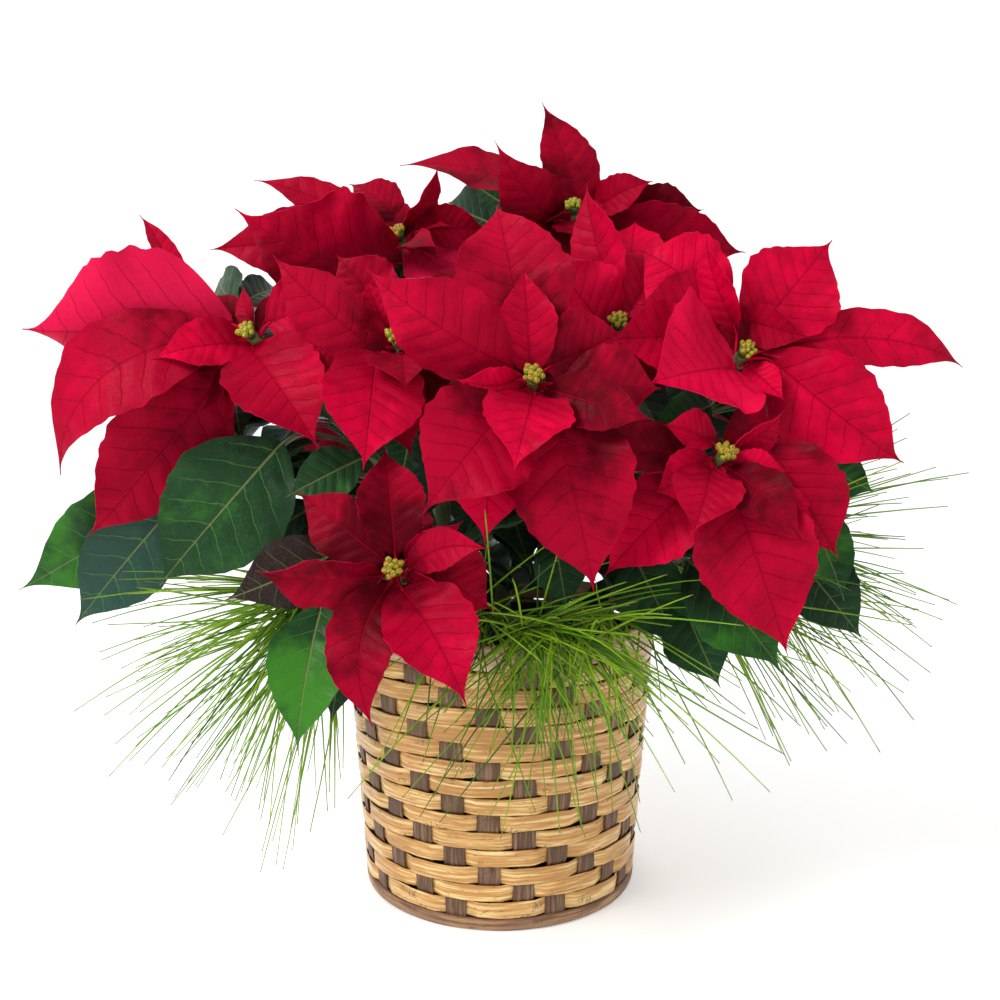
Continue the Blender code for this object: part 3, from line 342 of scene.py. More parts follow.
# The pine sprays
SPRAYS = {
    "left": Spray((-66, -34, 172), (-92, -56, 214), (-118, -84, 222)),
    "front": Spray((6, -70, 172), (18, -100, 206), (32, -138, 212)),
    "right": Spray((70, -28, 172), (112, -40, 226), (164, -56, 262)),
    "back": Spray((36, 64, 172), (52, 92, 224), (74, 128, 250)),
}

# Blades whose tone, which paints light and shade, and share of their underside's colour, a painted highlight
# on the face, differ from the usual
TONES_AND_HIGHLIGHTS: dict[tuple[str, int], tuple[float, float]] = {
    ("far_left_bracts", 3): (0.90, 0.45),
    ("far_left_bracts", 6): (0.70, 0.45),
    ("far_left_bracts", 5): (0.85, 0.10),
    ("right_bracts", 0): (0.95, 0.25),
    ("upper_right_bracts", 0): (0.92, 0.15),
    ("left_plant", 0): (0.62, 0.0),
    ("left_plant", 1): (0.35, 0.80),
    ("left_plant", 2): (0.50, 0.0),
    ("left_plant", 4): (-0.40, 0.0),
    ("left_plant", 5): (0.82, 0.0),
    ("left_plant", 6): (0.20, 0.0),
}

# Painted shade (below 0) and painted light (above 0) on each head's bracts, added to their tone
HEAD_SHADE_AND_LIGHT = {"lower_left": -0.24, "upper_left": -0.10, "top": -0.16, "upper_right": -0.06,
              "far_left": 0.06, "right": 0.04}


@dataclass
class Placed:
    """A blade at its real place: its root on the stem, its base, its tip and the way it faces."""

    node: str
    root: Vector
    base: Vector
    tip: Vector
    face: Vector
    width: float
    bow: float
    sweep: float
    fold: float
    reach: float

    @classmethod
    def of(cls, node: str, root: Vector, base: Vector, tip: Vector, face: Vector, blade: Blade) -> "Placed":
        """Places a drawn blade.

        Args:
            node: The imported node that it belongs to.
            root: Where its stalk leaves the stem.
            base: Where its stalk meets the blade.
            tip: Its tip.
            face: The way that it faces.
            blade: Its drawn shape.

        Returns:
            The placed blade, in metres and radians.
        """
        fold = math.radians(blade.fold)
        drawn = blade.tip != blade.base
        reach = (tip - base).length * (PLANT.most_stretch if drawn else 1.0)
        return cls(node, root, base, tip, face, blade.width * MM, blade.bow, blade.sweep, fold, reach)

    def axes(self) -> tuple[float, Vector, Vector, Vector]:
        """The blade's length, and its unit axes along it, across it and out of its face."""
        along = self.tip - self.base
        length = along.length
        along = along / length
        face = square_to(self.face, along)
        return length, along, face.cross(along), face

    def centre(self, share: float) -> Vector:
        """The point of the blade's rib at this share of its length."""
        length, along, across, face = self.axes()
        arch = 4.0 * share * (1.0 - share)
        return self.base + (along * share + (face * self.bow + across * self.sweep) * arch) * length

    def row(self, share: float, half: float,
            ripple: float) -> tuple[list[Vector], list[Vector], Vector, Vector]:
        """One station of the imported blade.

        Args:
            share: How far along the blade it lies.
            half: Half the width there.
            ripple: How far one edge is raised and the other lowered.

        Returns:
            Its points from side to side, the normals there, and the axes across and along.
        """
        _, along, across, face = self.axes()
        slope = 4.0 * (1.0 - 2.0 * share)
        run = (along + (face * self.bow + across * self.sweep) * slope).normalized()
        if share == 0.0:
            run = (run + (self.base - self.root).normalized()).normalized()
        lift = square_to(face, run)
        side = lift.cross(run)
        out, rise = math.cos(self.fold) * half, math.sin(self.fold) * half
        places, normals = [], []
        for hand in (-1, 0, 1):
            reach = side * (hand * out) + lift * (abs(hand) * rise + hand * ripple)
            places.append(self.centre(share) + reach)
            normal = lift * math.cos(self.fold) - side * (hand * math.sin(self.fold))
            normals.append(normal.normalized())
        return places, normals, side, run

    def rows(self, extra: float, first: int) -> tuple[list[Vector], list[Vector]]:
        """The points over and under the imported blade, from its stalk to its tip.

        Args:
            extra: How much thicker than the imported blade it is, on each face.
            first: The first station to keep.

        Returns:
            The points over it and the points under it.
        """
        stations = SMALL_STATIONS if self.width < PLANT.small_width else BLADE_STATIONS
        over, under = [], []
        face = self.axes()[3]
        for index, (share, width_share) in enumerate(stations[first:], first):
            half = max(self.width * width_share, PLANT.stalk_width) / 2.0
            ripple = PLANT.edge_ripple * self.width * (-1) ** index * width_share
            places, normals, side, run = self.row(share, half, ripple)
            if index == 0:
                stalk = (self.base - self.root).normalized()
                side = run.rotation_difference(stalk) @ side
                lift = stalk.cross(side) * (PLANT.stalk_thick / 2.0 + extra)
                for hand in (-1, 1):
                    place = self.root + side * (hand * PLANT.stalk_width / 2.0)
                    over.append(place + lift)
                    under.append(place - lift)
            for hand in (0, 1, 2):
                thick = (PLANT.rib_thick if hand == 1 else PLANT.blade_thick) / 2.0 + extra
                over.append(places[hand] + normals[hand] * thick)
                under.append(places[hand] - normals[hand] * thick)
        over.append(self.tip + face * (PLANT.blade_thick / 2.0 + extra))
        under.append(self.tip - face * (PLANT.blade_thick / 2.0 + extra))
        return over, under

    def solid(self, extra: float = 0.0, first: int = 0) -> Shape:
        """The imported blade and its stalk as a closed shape.

        Args:
            extra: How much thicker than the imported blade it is, on each face.
            first: The first station to keep. Past 0 the stalk is left out.

        Returns:
            Its points and triangles.
        """
        over, under = self.rows(extra, first)
        last, end = len(over) - 4, len(over) - 1
        start = 2 if first == 0 else 0
        top = [(3, 2, 0), (3, 0, 1), (3, 1, 4)] if first == 0 else []
        for left in range(start, last, 3):
            rib, right = left + 1, left + 2
            top += [(rib, left + 3, left), (rib, rib + 3, left + 3)]
            top += [(rib, right, right + 3), (rib, right + 3, rib + 3)]
        top += [(last + 1, end, last), (last + 1, last + 2, end)]
        count = len(over)
        faces = top + [(a + count, c + count, b + count) for a, b, c in top]
        rim = [*range(start, last + 1, 3), end, *range(last + 2, start + 1, -3)]
        rim = [0, *rim, 1] if first == 0 else [*rim, 1]
        for here, there in zip(rim, rim[1:] + rim[:1]):
            faces += [(here, there, there + count), (here, there + count, here + count)]
        return over + under, faces


def view_point(across: float, up: float, near: float) -> Vector:
    """The real place of a point of the front view.

    Args:
        across: Its place from left to right on the upright plane through the basket's axis, in mm.
        up: Its height on that plane, in mm.
        near: How far the real point stands in front of the plane, on the line from EYE, in mm.

    Returns:
        The place in metres.
    """
    drawn = Vector((across * MM, 0.0, up * MM))
    return EYE + (drawn - EYE) * ((near * MM + EYE.y) / EYE.y)


def square_to(direction: Vector, axis: Vector) -> Vector:
    """The part of a direction that is square to a unit axis, as a unit vector."""
    return (direction - axis * direction.dot(axis)).normalized()


def loft(path: Sequence[Vector], radii: Sequence[float], sides: int) -> Shape:
    """A round bar along a path, with flat ends.

    Args:
        path: The points of its middle line.
        radii: Its radius at each point.
        sides: How many sides it has.

    Returns:
        Its points and faces.
    """
    points: list[Vector] = []
    faces: list[Face] = []
    side = None
    for index, place in enumerate(path):
        before, after = path[max(index - 1, 0)], path[min(index + 1, len(path) - 1)]
        along = (after - before).normalized()
        if side is None:
            side = along.orthogonal().normalized()
        side = square_to(side, along)
        other = along.cross(side)
        for step in range(sides):
            angle = math.tau * step / sides
            points.append(place + (side * math.cos(angle) + other * math.sin(angle)) * radii[index])
    for ring in range(len(path) - 1):
        for step in range(sides):
            low, next_low = ring * sides + step, ring * sides + (step + 1) % sides
            faces.append((low, next_low, next_low + sides, low + sides))
    faces.append(tuple(reversed(range(sides))))
    faces.append(tuple(range((len(path) - 1) * sides, len(path) * sides)))
    return points, faces


def tree_of(points: Sequence[Vector], faces: Sequence[Face]) -> BVHTree:
    """A search tree of a closed shape."""
    return BVHTree.FromPolygons([tuple(point) for point in points], faces)


def curve_path(start: Vector, start_way: Vector, end: Vector, end_way: Vector, steps: int) -> list[Vector]:
    """A smooth path between two points.

    Args:
        start: Its first point.
        start_way: The way that it leaves.
        end: Its last point.
        end_way: The way that it arrives.
        steps: How many stretches it has.

    Returns:
        Its points.
    """
    hold = (end - start).length * 0.38
    first, second = start + start_way.normalized() * hold, end - end_way.normalized() * hold
    path = []
    for step in range(steps + 1):
        t = step / steps
        s = 1.0 - t
        path.append(start * s ** 3 + first * (3 * s * s * t) + second * (3 * s * t * t) + end * t ** 3)
    return path


Bracts = tuple[Vector, Vector, list[tuple[Vector, Vector, Vector, Blade]]]


def whorl_bracts(name: str, whorl: Whorl) -> Bracts:
    """The bracts of a head that is out of the front view.

    Args:
        name: The head's name, which seeds its small differences.
        whorl: The head.

    Returns:
        Its centre, its axis, and each bract's base, tip, face and drawn shape.
    """
    draw = random.Random(f"{SEED} {name}")
    centre = Vector(whorl.centre) * MM
    axis = Vector(whorl.faces).normalized()
    start = axis.orthogonal().normalized()
    other = axis.cross(start)
    turn = draw.uniform(0.0, math.tau)
    found = []
    for index in range(whorl.bracts):
        inner = index % 3 == 2
        angle = turn + math.tau * index / whorl.bracts + draw.uniform(-0.16, 0.16)
        radial = start * math.cos(angle) + other * math.sin(angle)
        reach = whorl.reach * MM * (0.55 if inner else draw.uniform(0.88, 1.06))
        lean = math.radians(draw.uniform(8, 20) if inner else draw.uniform(-24, -2))
        lean -= math.radians(14) * max(0.0, -radial.z)
        way = radial * math.cos(lean) + axis * math.sin(lean)
        base = centre + radial * (7 * MM) - axis * PLANT.flower_clearance
        width = (0.52 if inner else 0.60) * reach / MM
        blade = Blade(ORIGIN, ORIGIN, width, bow=0.12, sweep=draw.uniform(-0.06, 0.06), fold=10)
        found.append((base, base + way * reach, axis, blade))
    return centre, axis, found


def view_bracts(head: Head) -> Bracts:
    """The bracts of a head laid out on the front view.

    Args:
        head: The head.

    Returns:
        Its centre, its axis, and each bract's base, tip, face and drawn shape.
    """
    centre = view_point(*head.centre)
    axis = Vector(head.faces).normalized()
    found = []
    for blade in head.bracts:
        base = view_point(*(a + b for a, b in zip(head.centre, blade.base)))
        tip = view_point(*(a + b for a, b in zip(head.centre, blade.tip)))
        above = (base - centre).dot(axis) + PLANT.flower_clearance
        base -= axis * max(0.0, above)
        found.append((base, tip, view_face(base, tip, blade.roll), blade))
    return centre, axis, found


def view_face(base: Vector, tip: Vector, roll: float) -> Vector:
    """The way that a blade of the front view faces, once it is rolled by these degrees."""
    along = (tip - base).normalized()
    towards_eye = square_to(EYE - (base + tip) / 2.0, along)
    return Matrix.Rotation(math.radians(roll), 3, along) @ towards_eye


def root_on_hub(base: Vector, top: Vector, axis: Vector) -> Vector:
    """Where a bract's stalk leaves its hub: a little below the bract's base."""
    depth = (top - base).dot(axis) + PLANT.root_drop + 0.2 * (base - top).length
    return top - axis * min(max(depth, PLANT.root_drop), PLANT.hub_length - PLANT.root_margin)


@dataclass(frozen=True)
class Stem:
    """A stem's ends and the ways it leaves and arrives, with its radius."""

    start: Vector
    start_way: Vector
    end: Vector
    end_way: Vector
    radius: float

    def path(self, steps: int) -> list[Vector]:
        """The points of its middle line, in this many stretches."""
        return curve_path(self.start, self.start_way, self.end, self.end_way, steps)


class Layout:
    """Every stem and blade of the plants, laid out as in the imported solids."""

    def __init__(self) -> None:
        """Lays out the heads, then the stems that carry them, then the leaves on the stems."""
        self.blades: list[Placed] = []
        self.fillers: list[Placed] = []
        self.hubs: dict[str, tuple[Vector, Vector]] = {}
        self.paths: dict[str, list[tuple[list[Vector], float]]] = {}
        self.stems: dict[str, list[Stem]] = {}
        self.heads: dict[str, tuple[str, Vector, Vector]] = {}
        for name, head in HEADS.items():
            self.add_head(name, head.plant, view_bracts(head))
        for name, whorl in WHORLS.items():
            self.add_head(name, whorl.plant, whorl_bracts(name, whorl))
        for plant in PLANTS:
            self.add_stems(plant)
        for plant, leaves in LEAVES.items():
            for blade in leaves:
                base, tip = view_point(*blade.base), view_point(*blade.tip)
                self.add_leaf(plant, base, tip, view_face(base, tip, blade.roll), blade)
        for ring in LEAF_RINGS:
            self.add_leaf_ring(ring)

    def add_head(self, name: str, plant: str, laid: Bracts) -> None:
        """Notes a head's hub and bracts.

        Args:
            name: The head's name.
            plant: The plant that bears it.
            laid: Its centre, its axis and its bracts.
        """
        centre, axis, bracts = laid
        top = centre - axis * PLANT.flower_clearance
        self.heads[name] = (plant, centre, axis)
        self.hubs[name] = (top, top - axis * PLANT.hub_length)
        for base, tip, face, blade in bracts:
            root = root_on_hub(base, top, axis)
            self.blades.append(Placed.of(f"{name}_bracts", root, base, tip, face, blade))

    def add_stems(self, plant: str) -> None:
        """Lays the main stem, and a branch to each of the plant's heads."""
        x, y = (value * MM for value in PLANTS[plant])
        foot = Vector((x, y, BASKET.soil_top - BASKET.stem_depth))
        fork = Vector((x, y, PLANT.fork_height))
        paths = [([foot, (foot + fork) / 2.0, fork], PLANT.main_stem_radius)]
        self.stems[plant] = [Stem(foot, UP, fork, UP, PLANT.main_stem_radius)]
        for name, (owner, _, axis) in self.heads.items():
            if owner != plant:
                continue
            end = self.hubs[name][1] - axis * PLANT.piece_gap
            start = fork - UP * (10 * MM)
            way = (end - start).normalized() * 0.6 + UP
            stem = Stem(start, way, end - axis * (4 * MM), axis, PLANT.branch_radius)
            self.stems[plant].append(stem)
            paths.append(([*stem.path(PLANT.branch_steps), end], PLANT.branch_radius))
        self.paths[plant] = paths

    def add_leaf(self, plant: str, base: Vector, tip: Vector, face: Vector, blade: Blade) -> None:
        """Adds a leaf whose stalk reaches down and in to the nearest stem of its plant.

        Args:
            plant: The plant that bears it.
            base: Where its stalk meets the blade.
            tip: Its tip.
            face: The way that it faces.
            blade: Its drawn shape.
        """
        root = self.stem_place(plant, base)[1]
        self.blades.append(Placed.of(f"{plant}_plant", root, base, tip, face, blade))

    def stem_place(self, plant: str, base: Vector) -> tuple[float, Vector]:
        """Where a leaf's stalk best leaves a plant's stems.

        Args:
            plant: The plant.
            base: Where the stalk meets the leaf's blade.

        Returns:
            How far off the place is, with a charge for one that is higher than the blade, and the place.
        """
        best = (math.inf, Vector())
        for path, _ in self.paths[plant]:
            for first, second in zip(path, path[1:]):
                for share in (0.0, 0.25, 0.5, 0.75):
                    place = first.lerp(second, share)
                    cost = (place - base).length + 2.0 * max(0.0, place.z - base.z)
                    if place.z > BASKET.rim_top + 5 * MM and cost < best[0]:
                        best = (cost, place)
        return best

    def add_leaf_ring(self, ring: LeafRing) -> None:
        """Fans leaves round the back at one height."""
        draw = random.Random(f"{SEED} {ring.plant} {ring.height}")
        for angle in ring.angles:
            turn = math.radians(angle + draw.uniform(-5, 5))
            radial = Vector((math.cos(turn), math.sin(turn), 0.0))
            droop = math.radians(ring.droop + draw.uniform(-6, 6))
            base = radial * (ring.radius * MM) + UP * (ring.height * MM)
            way = radial * math.cos(droop) - UP * math.sin(droop)
            tip = base + way * (ring.length * MM * draw.uniform(0.92, 1.08))
            blade = Blade(ORIGIN, ORIGIN, ring.length * 0.52, bow=0.10, fold=8)
            self.add_leaf(ring.plant, base, tip, UP, blade)


class Settler:
    """Swings blades about their bases until none crosses a blade or stem of another node."""

    def __init__(self, layout: Layout) -> None:
        """Gathers what the blades keep clear of, and slides each bract clear of its flowers."""
        self.blades = layout.blades
        self.fixed: list[tuple[str, BVHTree]] = []
        gap = PLANT.clearance
        for plant, paths in layout.paths.items():
            for path, radius in paths:
                shape = loft(path, [radius + gap] * len(path), PLANT.branch_sides)
                self.fixed.append((f"{plant}_plant", tree_of(*shape)))
        for name, (_, centre, axis) in layout.heads.items():
            top, end = layout.hubs[name]
            hub = loft([top, end], [PLANT.hub_radius + gap] * 2, PLANT.branch_sides)
            self.fixed.append((f"{name}_bracts", tree_of(*hub)))
            flowers = [centre - axis * PLANT.flower_clearance, centre + axis * PLANT.cluster_height]
            tree = tree_of(*loft(flowers, [PLANT.cluster_radius + gap] * 2, PLANT.branch_sides))
            self.fixed.append((f"{name}_flowers", tree))
            for blade in self.blades:
                if blade.node == f"{name}_bracts":
                    self.lower(blade, top, axis, tree)
        rim = [Vector((0, 0, 0.10)), Vector((0, 0, BASKET.rim_top + gap))]
        shape = loft(rim, [BASKET.top_radius + 2 * MM] * 2, BASKET.stakes)
        self.fixed.append(("basket", tree_of(*shape)))

    def lower(self, blade: Placed, top: Vector, axis: Vector, flowers: BVHTree) -> None:
        """Slides a bract down its hub until it is clear of the flowers above it.

        Args:
            blade: The bract.
            top: The top of its hub.
            axis: The way that its head faces.
            flowers: The search tree of the flowers.
        """
        for _ in range(PLANT.lower_steps):
            if not self.tree(blade).overlap(flowers):
                return
            blade.base -= axis * PLANT.settle_step
            blade.tip -= axis * PLANT.settle_step
            blade.root = root_on_hub(blade.base, top, axis)

    def run(self) -> int:
        """Repeats the swings until nothing crosses.

        Returns:
            The number of crossings left.
        """
        trees = [self.tree(blade) for blade in self.blades]
        outer = [self.outer_tree(blade) for blade in self.blades]
        left = 0
        for _ in range(PLANT.settle_rounds):
            moves = [Vector() for _ in self.blades]
            left = 0
            for first in range(len(self.blades)):
                for second in range(first + 1, len(self.blades)):
                    if self.part_pair(first, second, trees, outer, moves):
                        left += 1
                for node, tree in self.fixed:
                    if self.leave_fixed(first, node, tree, trees, moves):
                        left += 1
            if not left:
                break
            for index, move in enumerate(moves):
                if move.length > 0.0:
                    self.swing(self.blades[index], move)
                    trees[index] = self.tree(self.blades[index])
                    outer[index] = self.outer_tree(self.blades[index])
        return left

    def tree(self, blade: Placed) -> BVHTree:
        """A search tree of the blade, thickened by the gap it keeps."""
        return tree_of(*blade.solid(PLANT.clearance))

    def outer_tree(self, blade: Placed) -> BVHTree:
        """A search tree of the blade beyond its first station, as thick as it is."""
        return tree_of(*blade.solid(0.1 * MM, 1))

    def part_pair(self, first: int, second: int, trees: list[BVHTree], outer: list[BVHTree],
                  moves: list[Vector]) -> bool:
        """Moves two blades apart if they cross. Blades of one node may cross near their stalks.

        Args:
            first: The first blade's place in the list.
            second: The second blade's place in the list.
            trees: The search tree of each blade.
            outer: The search tree of each blade beyond its first station.
            moves: What each blade's tip is to move by, added to here.

        Returns:
            Whether they cross.
        """
        one, two = self.blades[first], self.blades[second]
        check = outer if one.node == two.node else trees
        if not check[first].overlap(check[second]):
            return False
        step = PLANT.settle_step if self.depth(one) < self.depth(two) else -PLANT.settle_step
        moves[first] += (EYE - one.tip).normalized() * step
        moves[second] -= (EYE - two.tip).normalized() * step
        return True

    def leave_fixed(self, index: int, node: str, tree: BVHTree, trees: list[BVHTree],
                    moves: list[Vector]) -> bool:
        """Moves a blade off a stem, a cluster of flowers or the basket if it crosses it.

        Args:
            index: The blade's place in the list.
            node: The node that the fixed shape belongs to.
            tree: The fixed shape's search tree.
            trees: The search tree of each blade.
            moves: What each blade's tip is to move by, added to here.

        Returns:
            Whether it crosses.
        """
        blade = self.blades[index]
        if blade.node == node or not trees[index].overlap(tree):
            return False
        middle = blade.centre(0.5)
        out = middle - tree.find_nearest(middle)[0]
        out = out if out.length > 1e-6 else blade.face
        if node == "basket":
            out = Vector((middle.x, middle.y, 0.5 * middle.length))
        moves[index] += out.normalized() * PLANT.settle_step
        return True

    def depth(self, blade: Placed) -> float:
        """How far the blade lies from the eye."""
        return (EYE - blade.base.lerp(blade.tip, 0.6)).length

    def swing(self, blade: Placed, move: Vector) -> None:
        """Turns a blade about its base so that its tip moves this way, and its length with it."""
        arm = blade.tip - blade.base
        turned = arm + move
        if turned.length > blade.reach:
            turned *= blade.reach / turned.length
        turn = arm.rotation_difference(turned)
        blade.tip = blade.base + turned
        blade.face = turn @ blade.face


# The plant's outline on the front view, in mm across and up
VIEW_OUTLINE = (
    (-329, 384), (-244, 442), (-166, 486), (-68, 484), (0, 508), (31, 530), (68, 492), (136, 464), (182, 440),
    (220, 438), (227, 392), (300, 364), (275, 300), (257, 280), (258, 178), (206, 152), (156, 146),
    (113, 176), (43, 200), (-40, 190), (-60, 150), (-93, 112), (-150, 92), (-184, 166), (-241, 210),
    (-300, 182), (-338, 208), (-305, 282))
BASKET_VIEW_TOP = 206


def in_outline(across: float, up: float) -> bool:
    """Whether a place of the front view, in mm across and up, lies inside the plant's outline."""
    inside = False
    for (x1, z1), (x2, z2) in zip(VIEW_OUTLINE, VIEW_OUTLINE[1:] + VIEW_OUTLINE[:1]):
        if (z1 > up) != (z2 > up) and across < x1 + (x2 - x1) * (up - z1) / (z2 - z1):
            inside = not inside
    return inside


@dataclass
class Filler:
    """Adds small bracts and leaves where there is room for them between the settled ones."""

    layout: Layout
    tries: int = 110
    bracts: int = 9
    leaves: int = 26
    leaf_tries: int = 300
    seen_share: int = 5
    gap_step: int = 6
    gap_margin: int = 12
    gap_tries: int = 60
    gap_half: int = 236
    gap_top: int = 500
    longest_stalk: float = 0.062
    room: float = 0.0006
    draw: random.Random = field(default_factory=lambda: random.Random(f"{SEED} fillers"))

    def run(self) -> int:
        """Tries places at random, and keeps the blades that cross nothing.

        Returns:
            The number of blades added.
        """
        self.trees = [(blade.node, self.tree(blade, 0), self.tree(blade, 1)) for blade in self.layout.blades]
        self.mass = self.whole_tree()
        self.low, self.high = (Vector(corner) for corner in PACKED_BOX)
        self.fixed = [(name, tree) for name, tree in self.stem_trees()]
        for name, (_, centre, axis) in self.layout.heads.items():
            self.fill(f"{name}_bracts", self.bracts, self.tries, lambda: self.bract(name, centre, axis))
        for plant in PLANTS:
            self.fill(f"{plant}_plant", self.leaves, self.leaf_tries, lambda: self.leaf(plant))
        self.close_gaps()
        return len(self.layout.fillers)

    def close_gaps(self) -> None:
        """Adds a leaf wherever the front view still looks past every blade, well inside the outline."""
        off = self.gap_margin
        sides = ((0, 0), (off, 0), (-off, 0), (0, off), (0, -off))
        for up in range(BASKET_VIEW_TOP, self.gap_top, self.gap_step):
            for across in range(-self.gap_half, self.gap_half, self.gap_step):
                if not all(in_outline(across + x, up + z) for x, z in sides):
                    continue
                for _ in range(self.gap_tries):
                    if self.mass.ray_cast(EYE, (view_point(across, up, 0) - EYE).normalized())[0] is not None:
                        break
                    blade = self.leaf_at(across, up)
                    if (blade.root - blade.base).length < self.longest_stalk and self.fits(blade):
                        self.keep(blade)

    def leaf_at(self, across: float, up: float) -> Placed:
        """A leaf at random whose middle lies at this place of the front view."""
        draw = self.draw
        middle = view_point(across, up, draw.uniform(-100, 70 - 0.6 * max(0.0, up - 310)))
        turn, droop = draw.uniform(0.0, math.tau), math.radians(draw.uniform(-70, 70))
        half = Vector((math.cos(turn) * math.cos(droop), math.sin(turn) * math.cos(droop), -math.sin(droop)))
        half *= draw.uniform(18, 46) * MM
        base, tip = middle - half, middle + half
        plant = min(PLANTS, key=lambda name: self.layout.stem_place(name, base)[0])
        root = self.layout.stem_place(plant, base)[1]
        width = 2.0 * half.length / MM * draw.uniform(0.46, 0.58)
        blade = Blade(ORIGIN, ORIGIN, width, bow=0.08, fold=draw.uniform(4, 16))
        face = view_face(base, tip, draw.uniform(-50, 50))
        return Placed.of(f"{plant}_plant", root, base, tip, face, blade)

    def tree(self, blade: Placed, first: int) -> BVHTree:
        """A search tree of a blade from this station on."""
        return tree_of(*blade.solid(self.room, first))

    def stem_trees(self) -> Iterator[tuple[str, BVHTree]]:
        """The search trees of the stems and the flowers, with the node that each belongs to."""
        for plant, paths in self.layout.paths.items():
            for path, radius in paths:
                bar = loft(path, [radius + self.room] * len(path), PLANT.branch_sides)
                yield f"{plant}_plant", tree_of(*bar)
        for name, (_, centre, axis) in self.layout.heads.items():
            path = [centre - axis * PLANT.flower_clearance, centre + axis * PLANT.cluster_height * 1.6]
            yield f"{name}_flowers", tree_of(*loft(path, [PLANT.cluster_radius] * 2, PLANT.branch_sides))

    def fill(self, node: str, wanted: int, tries: int, offer: Callable[[], Placed | None]) -> None:
        """Keeps the offered blades of a node that fit.

        Args:
            node: The node.
            wanted: How many to keep.
            tries: How many to look at.
            offer: Makes the next blade to look at.
        """
        kept = 0
        for turn in range(tries * (self.seen_share + 1)):
            if kept == wanted:
                return
            blade = offer()
            closes_gap = turn < tries * self.seen_share
            if blade is None or (closes_gap and self.is_backed(blade)) or not self.fits(blade):
                continue
            self.keep(blade)
            kept += 1

    def keep(self, blade: Placed) -> None:
        """Adds a blade to the plants."""
        self.trees.append((blade.node, self.tree(blade, 0), self.tree(blade, 1)))
        self.layout.fillers.append(blade)
        self.mass = self.whole_tree()

    def whole_tree(self) -> BVHTree:
        """One search tree of every blade so far, without the stalks."""
        points: list[Vector] = []
        faces: list[Face] = []
        for blade in self.layout.blades + self.layout.fillers:
            more, corners = blade.solid(0.0, 1)
            faces += [tuple(corner + len(points) for corner in face) for face in corners]
            points += more
        return tree_of(points, faces)

    def is_backed(self, blade: Placed) -> bool:
        """Whether the line from EYE through a blade's middle meets a blade that is there already."""
        return self.mass.ray_cast(EYE, (blade.centre(0.5) - EYE).normalized())[0] is not None

    def fits(self, blade: Placed) -> bool:
        """Whether a blade lies within the plant's outline and box, and crosses nothing."""
        corners = [blade.tip, *(blade.centre(share) for share in (0.4, 0.7))]
        for place in corners:
            if any(place[axis] < self.low[axis] or place[axis] > self.high[axis] for axis in range(3)):
                return False
            drawn = EYE + (place - EYE) * (-EYE.y / (place.y - EYE.y))
            if not in_outline(drawn.x / MM, drawn.z / MM):
                return False
        outer = self.tree(blade, 1)
        if outer.overlap(self.mass):
            return False
        whole = self.tree(blade, 0)
        for node, tree, outer_tree in self.trees:
            if (outer.overlap(outer_tree) if node == blade.node else whole.overlap(tree)):
                return False
        return not any((outer if node == blade.node else whole).overlap(tree) for node, tree in self.fixed)

    def bract(self, name: str, centre: Vector, axis: Vector) -> Placed:
        """A small bract round the back of a head, at random."""
        draw = self.draw
        start = axis.orthogonal().normalized()
        turn, lean = draw.uniform(0.0, math.tau), math.radians(draw.uniform(-58, 22))
        radial = start * math.cos(turn) + axis.cross(start) * math.sin(turn)
        way = radial * math.cos(lean) + axis * math.sin(lean)
        top, _ = self.layout.hubs[name]
        base = centre + radial * (7 * MM) - axis * (PLANT.flower_clearance + draw.uniform(0.5, 11.0) * MM)
        length = draw.uniform(30, 74)
        blade = Blade(ORIGIN, ORIGIN, length * draw.uniform(0.46, 0.60), bow=draw.uniform(0.04, 0.16),
                      sweep=draw.uniform(-0.08, 0.08), fold=draw.uniform(4, 20))
        face = axis + radial.cross(axis) * draw.uniform(-0.4, 0.4)
        return Placed.of(f"{name}_bracts", root_on_hub(base, top, axis), base, base + way * (length * MM),
                         face, blade)

    def leaf(self, plant: str) -> Placed | None:
        """A leaf on a stem of a plant, at random, or None where no leaf grows."""
        draw = self.draw
        path, _ = draw.choice(self.layout.paths[plant][1:])
        step = draw.randrange(len(path) - 2)
        root = path[step].lerp(path[step + 1], draw.random())
        turn, droop = draw.uniform(0.0, math.tau), math.radians(draw.uniform(-50, 50))
        length = draw.uniform(46, 104)
        stalk = draw.uniform(8, 44) * MM
        if root.z < BASKET.rim_top + 14 * MM:
            return None
        radial = Vector((math.cos(turn), math.sin(turn), 0.0))
        base = root + radial * stalk + UP * (0.4 * stalk)
        tip = base + (radial * math.cos(droop) - UP * math.sin(droop)) * (length * MM)
        if tip.z < BASKET.rim_top or tip.z > 470 * MM:
            return None
        blade = Blade(ORIGIN, ORIGIN, length * draw.uniform(0.46, 0.56), bow=0.10,
                      sweep=draw.uniform(-0.06, 0.06), fold=draw.uniform(4, 16))
        return Placed.of(f"{plant}_plant", root, base, tip, UP, blade)


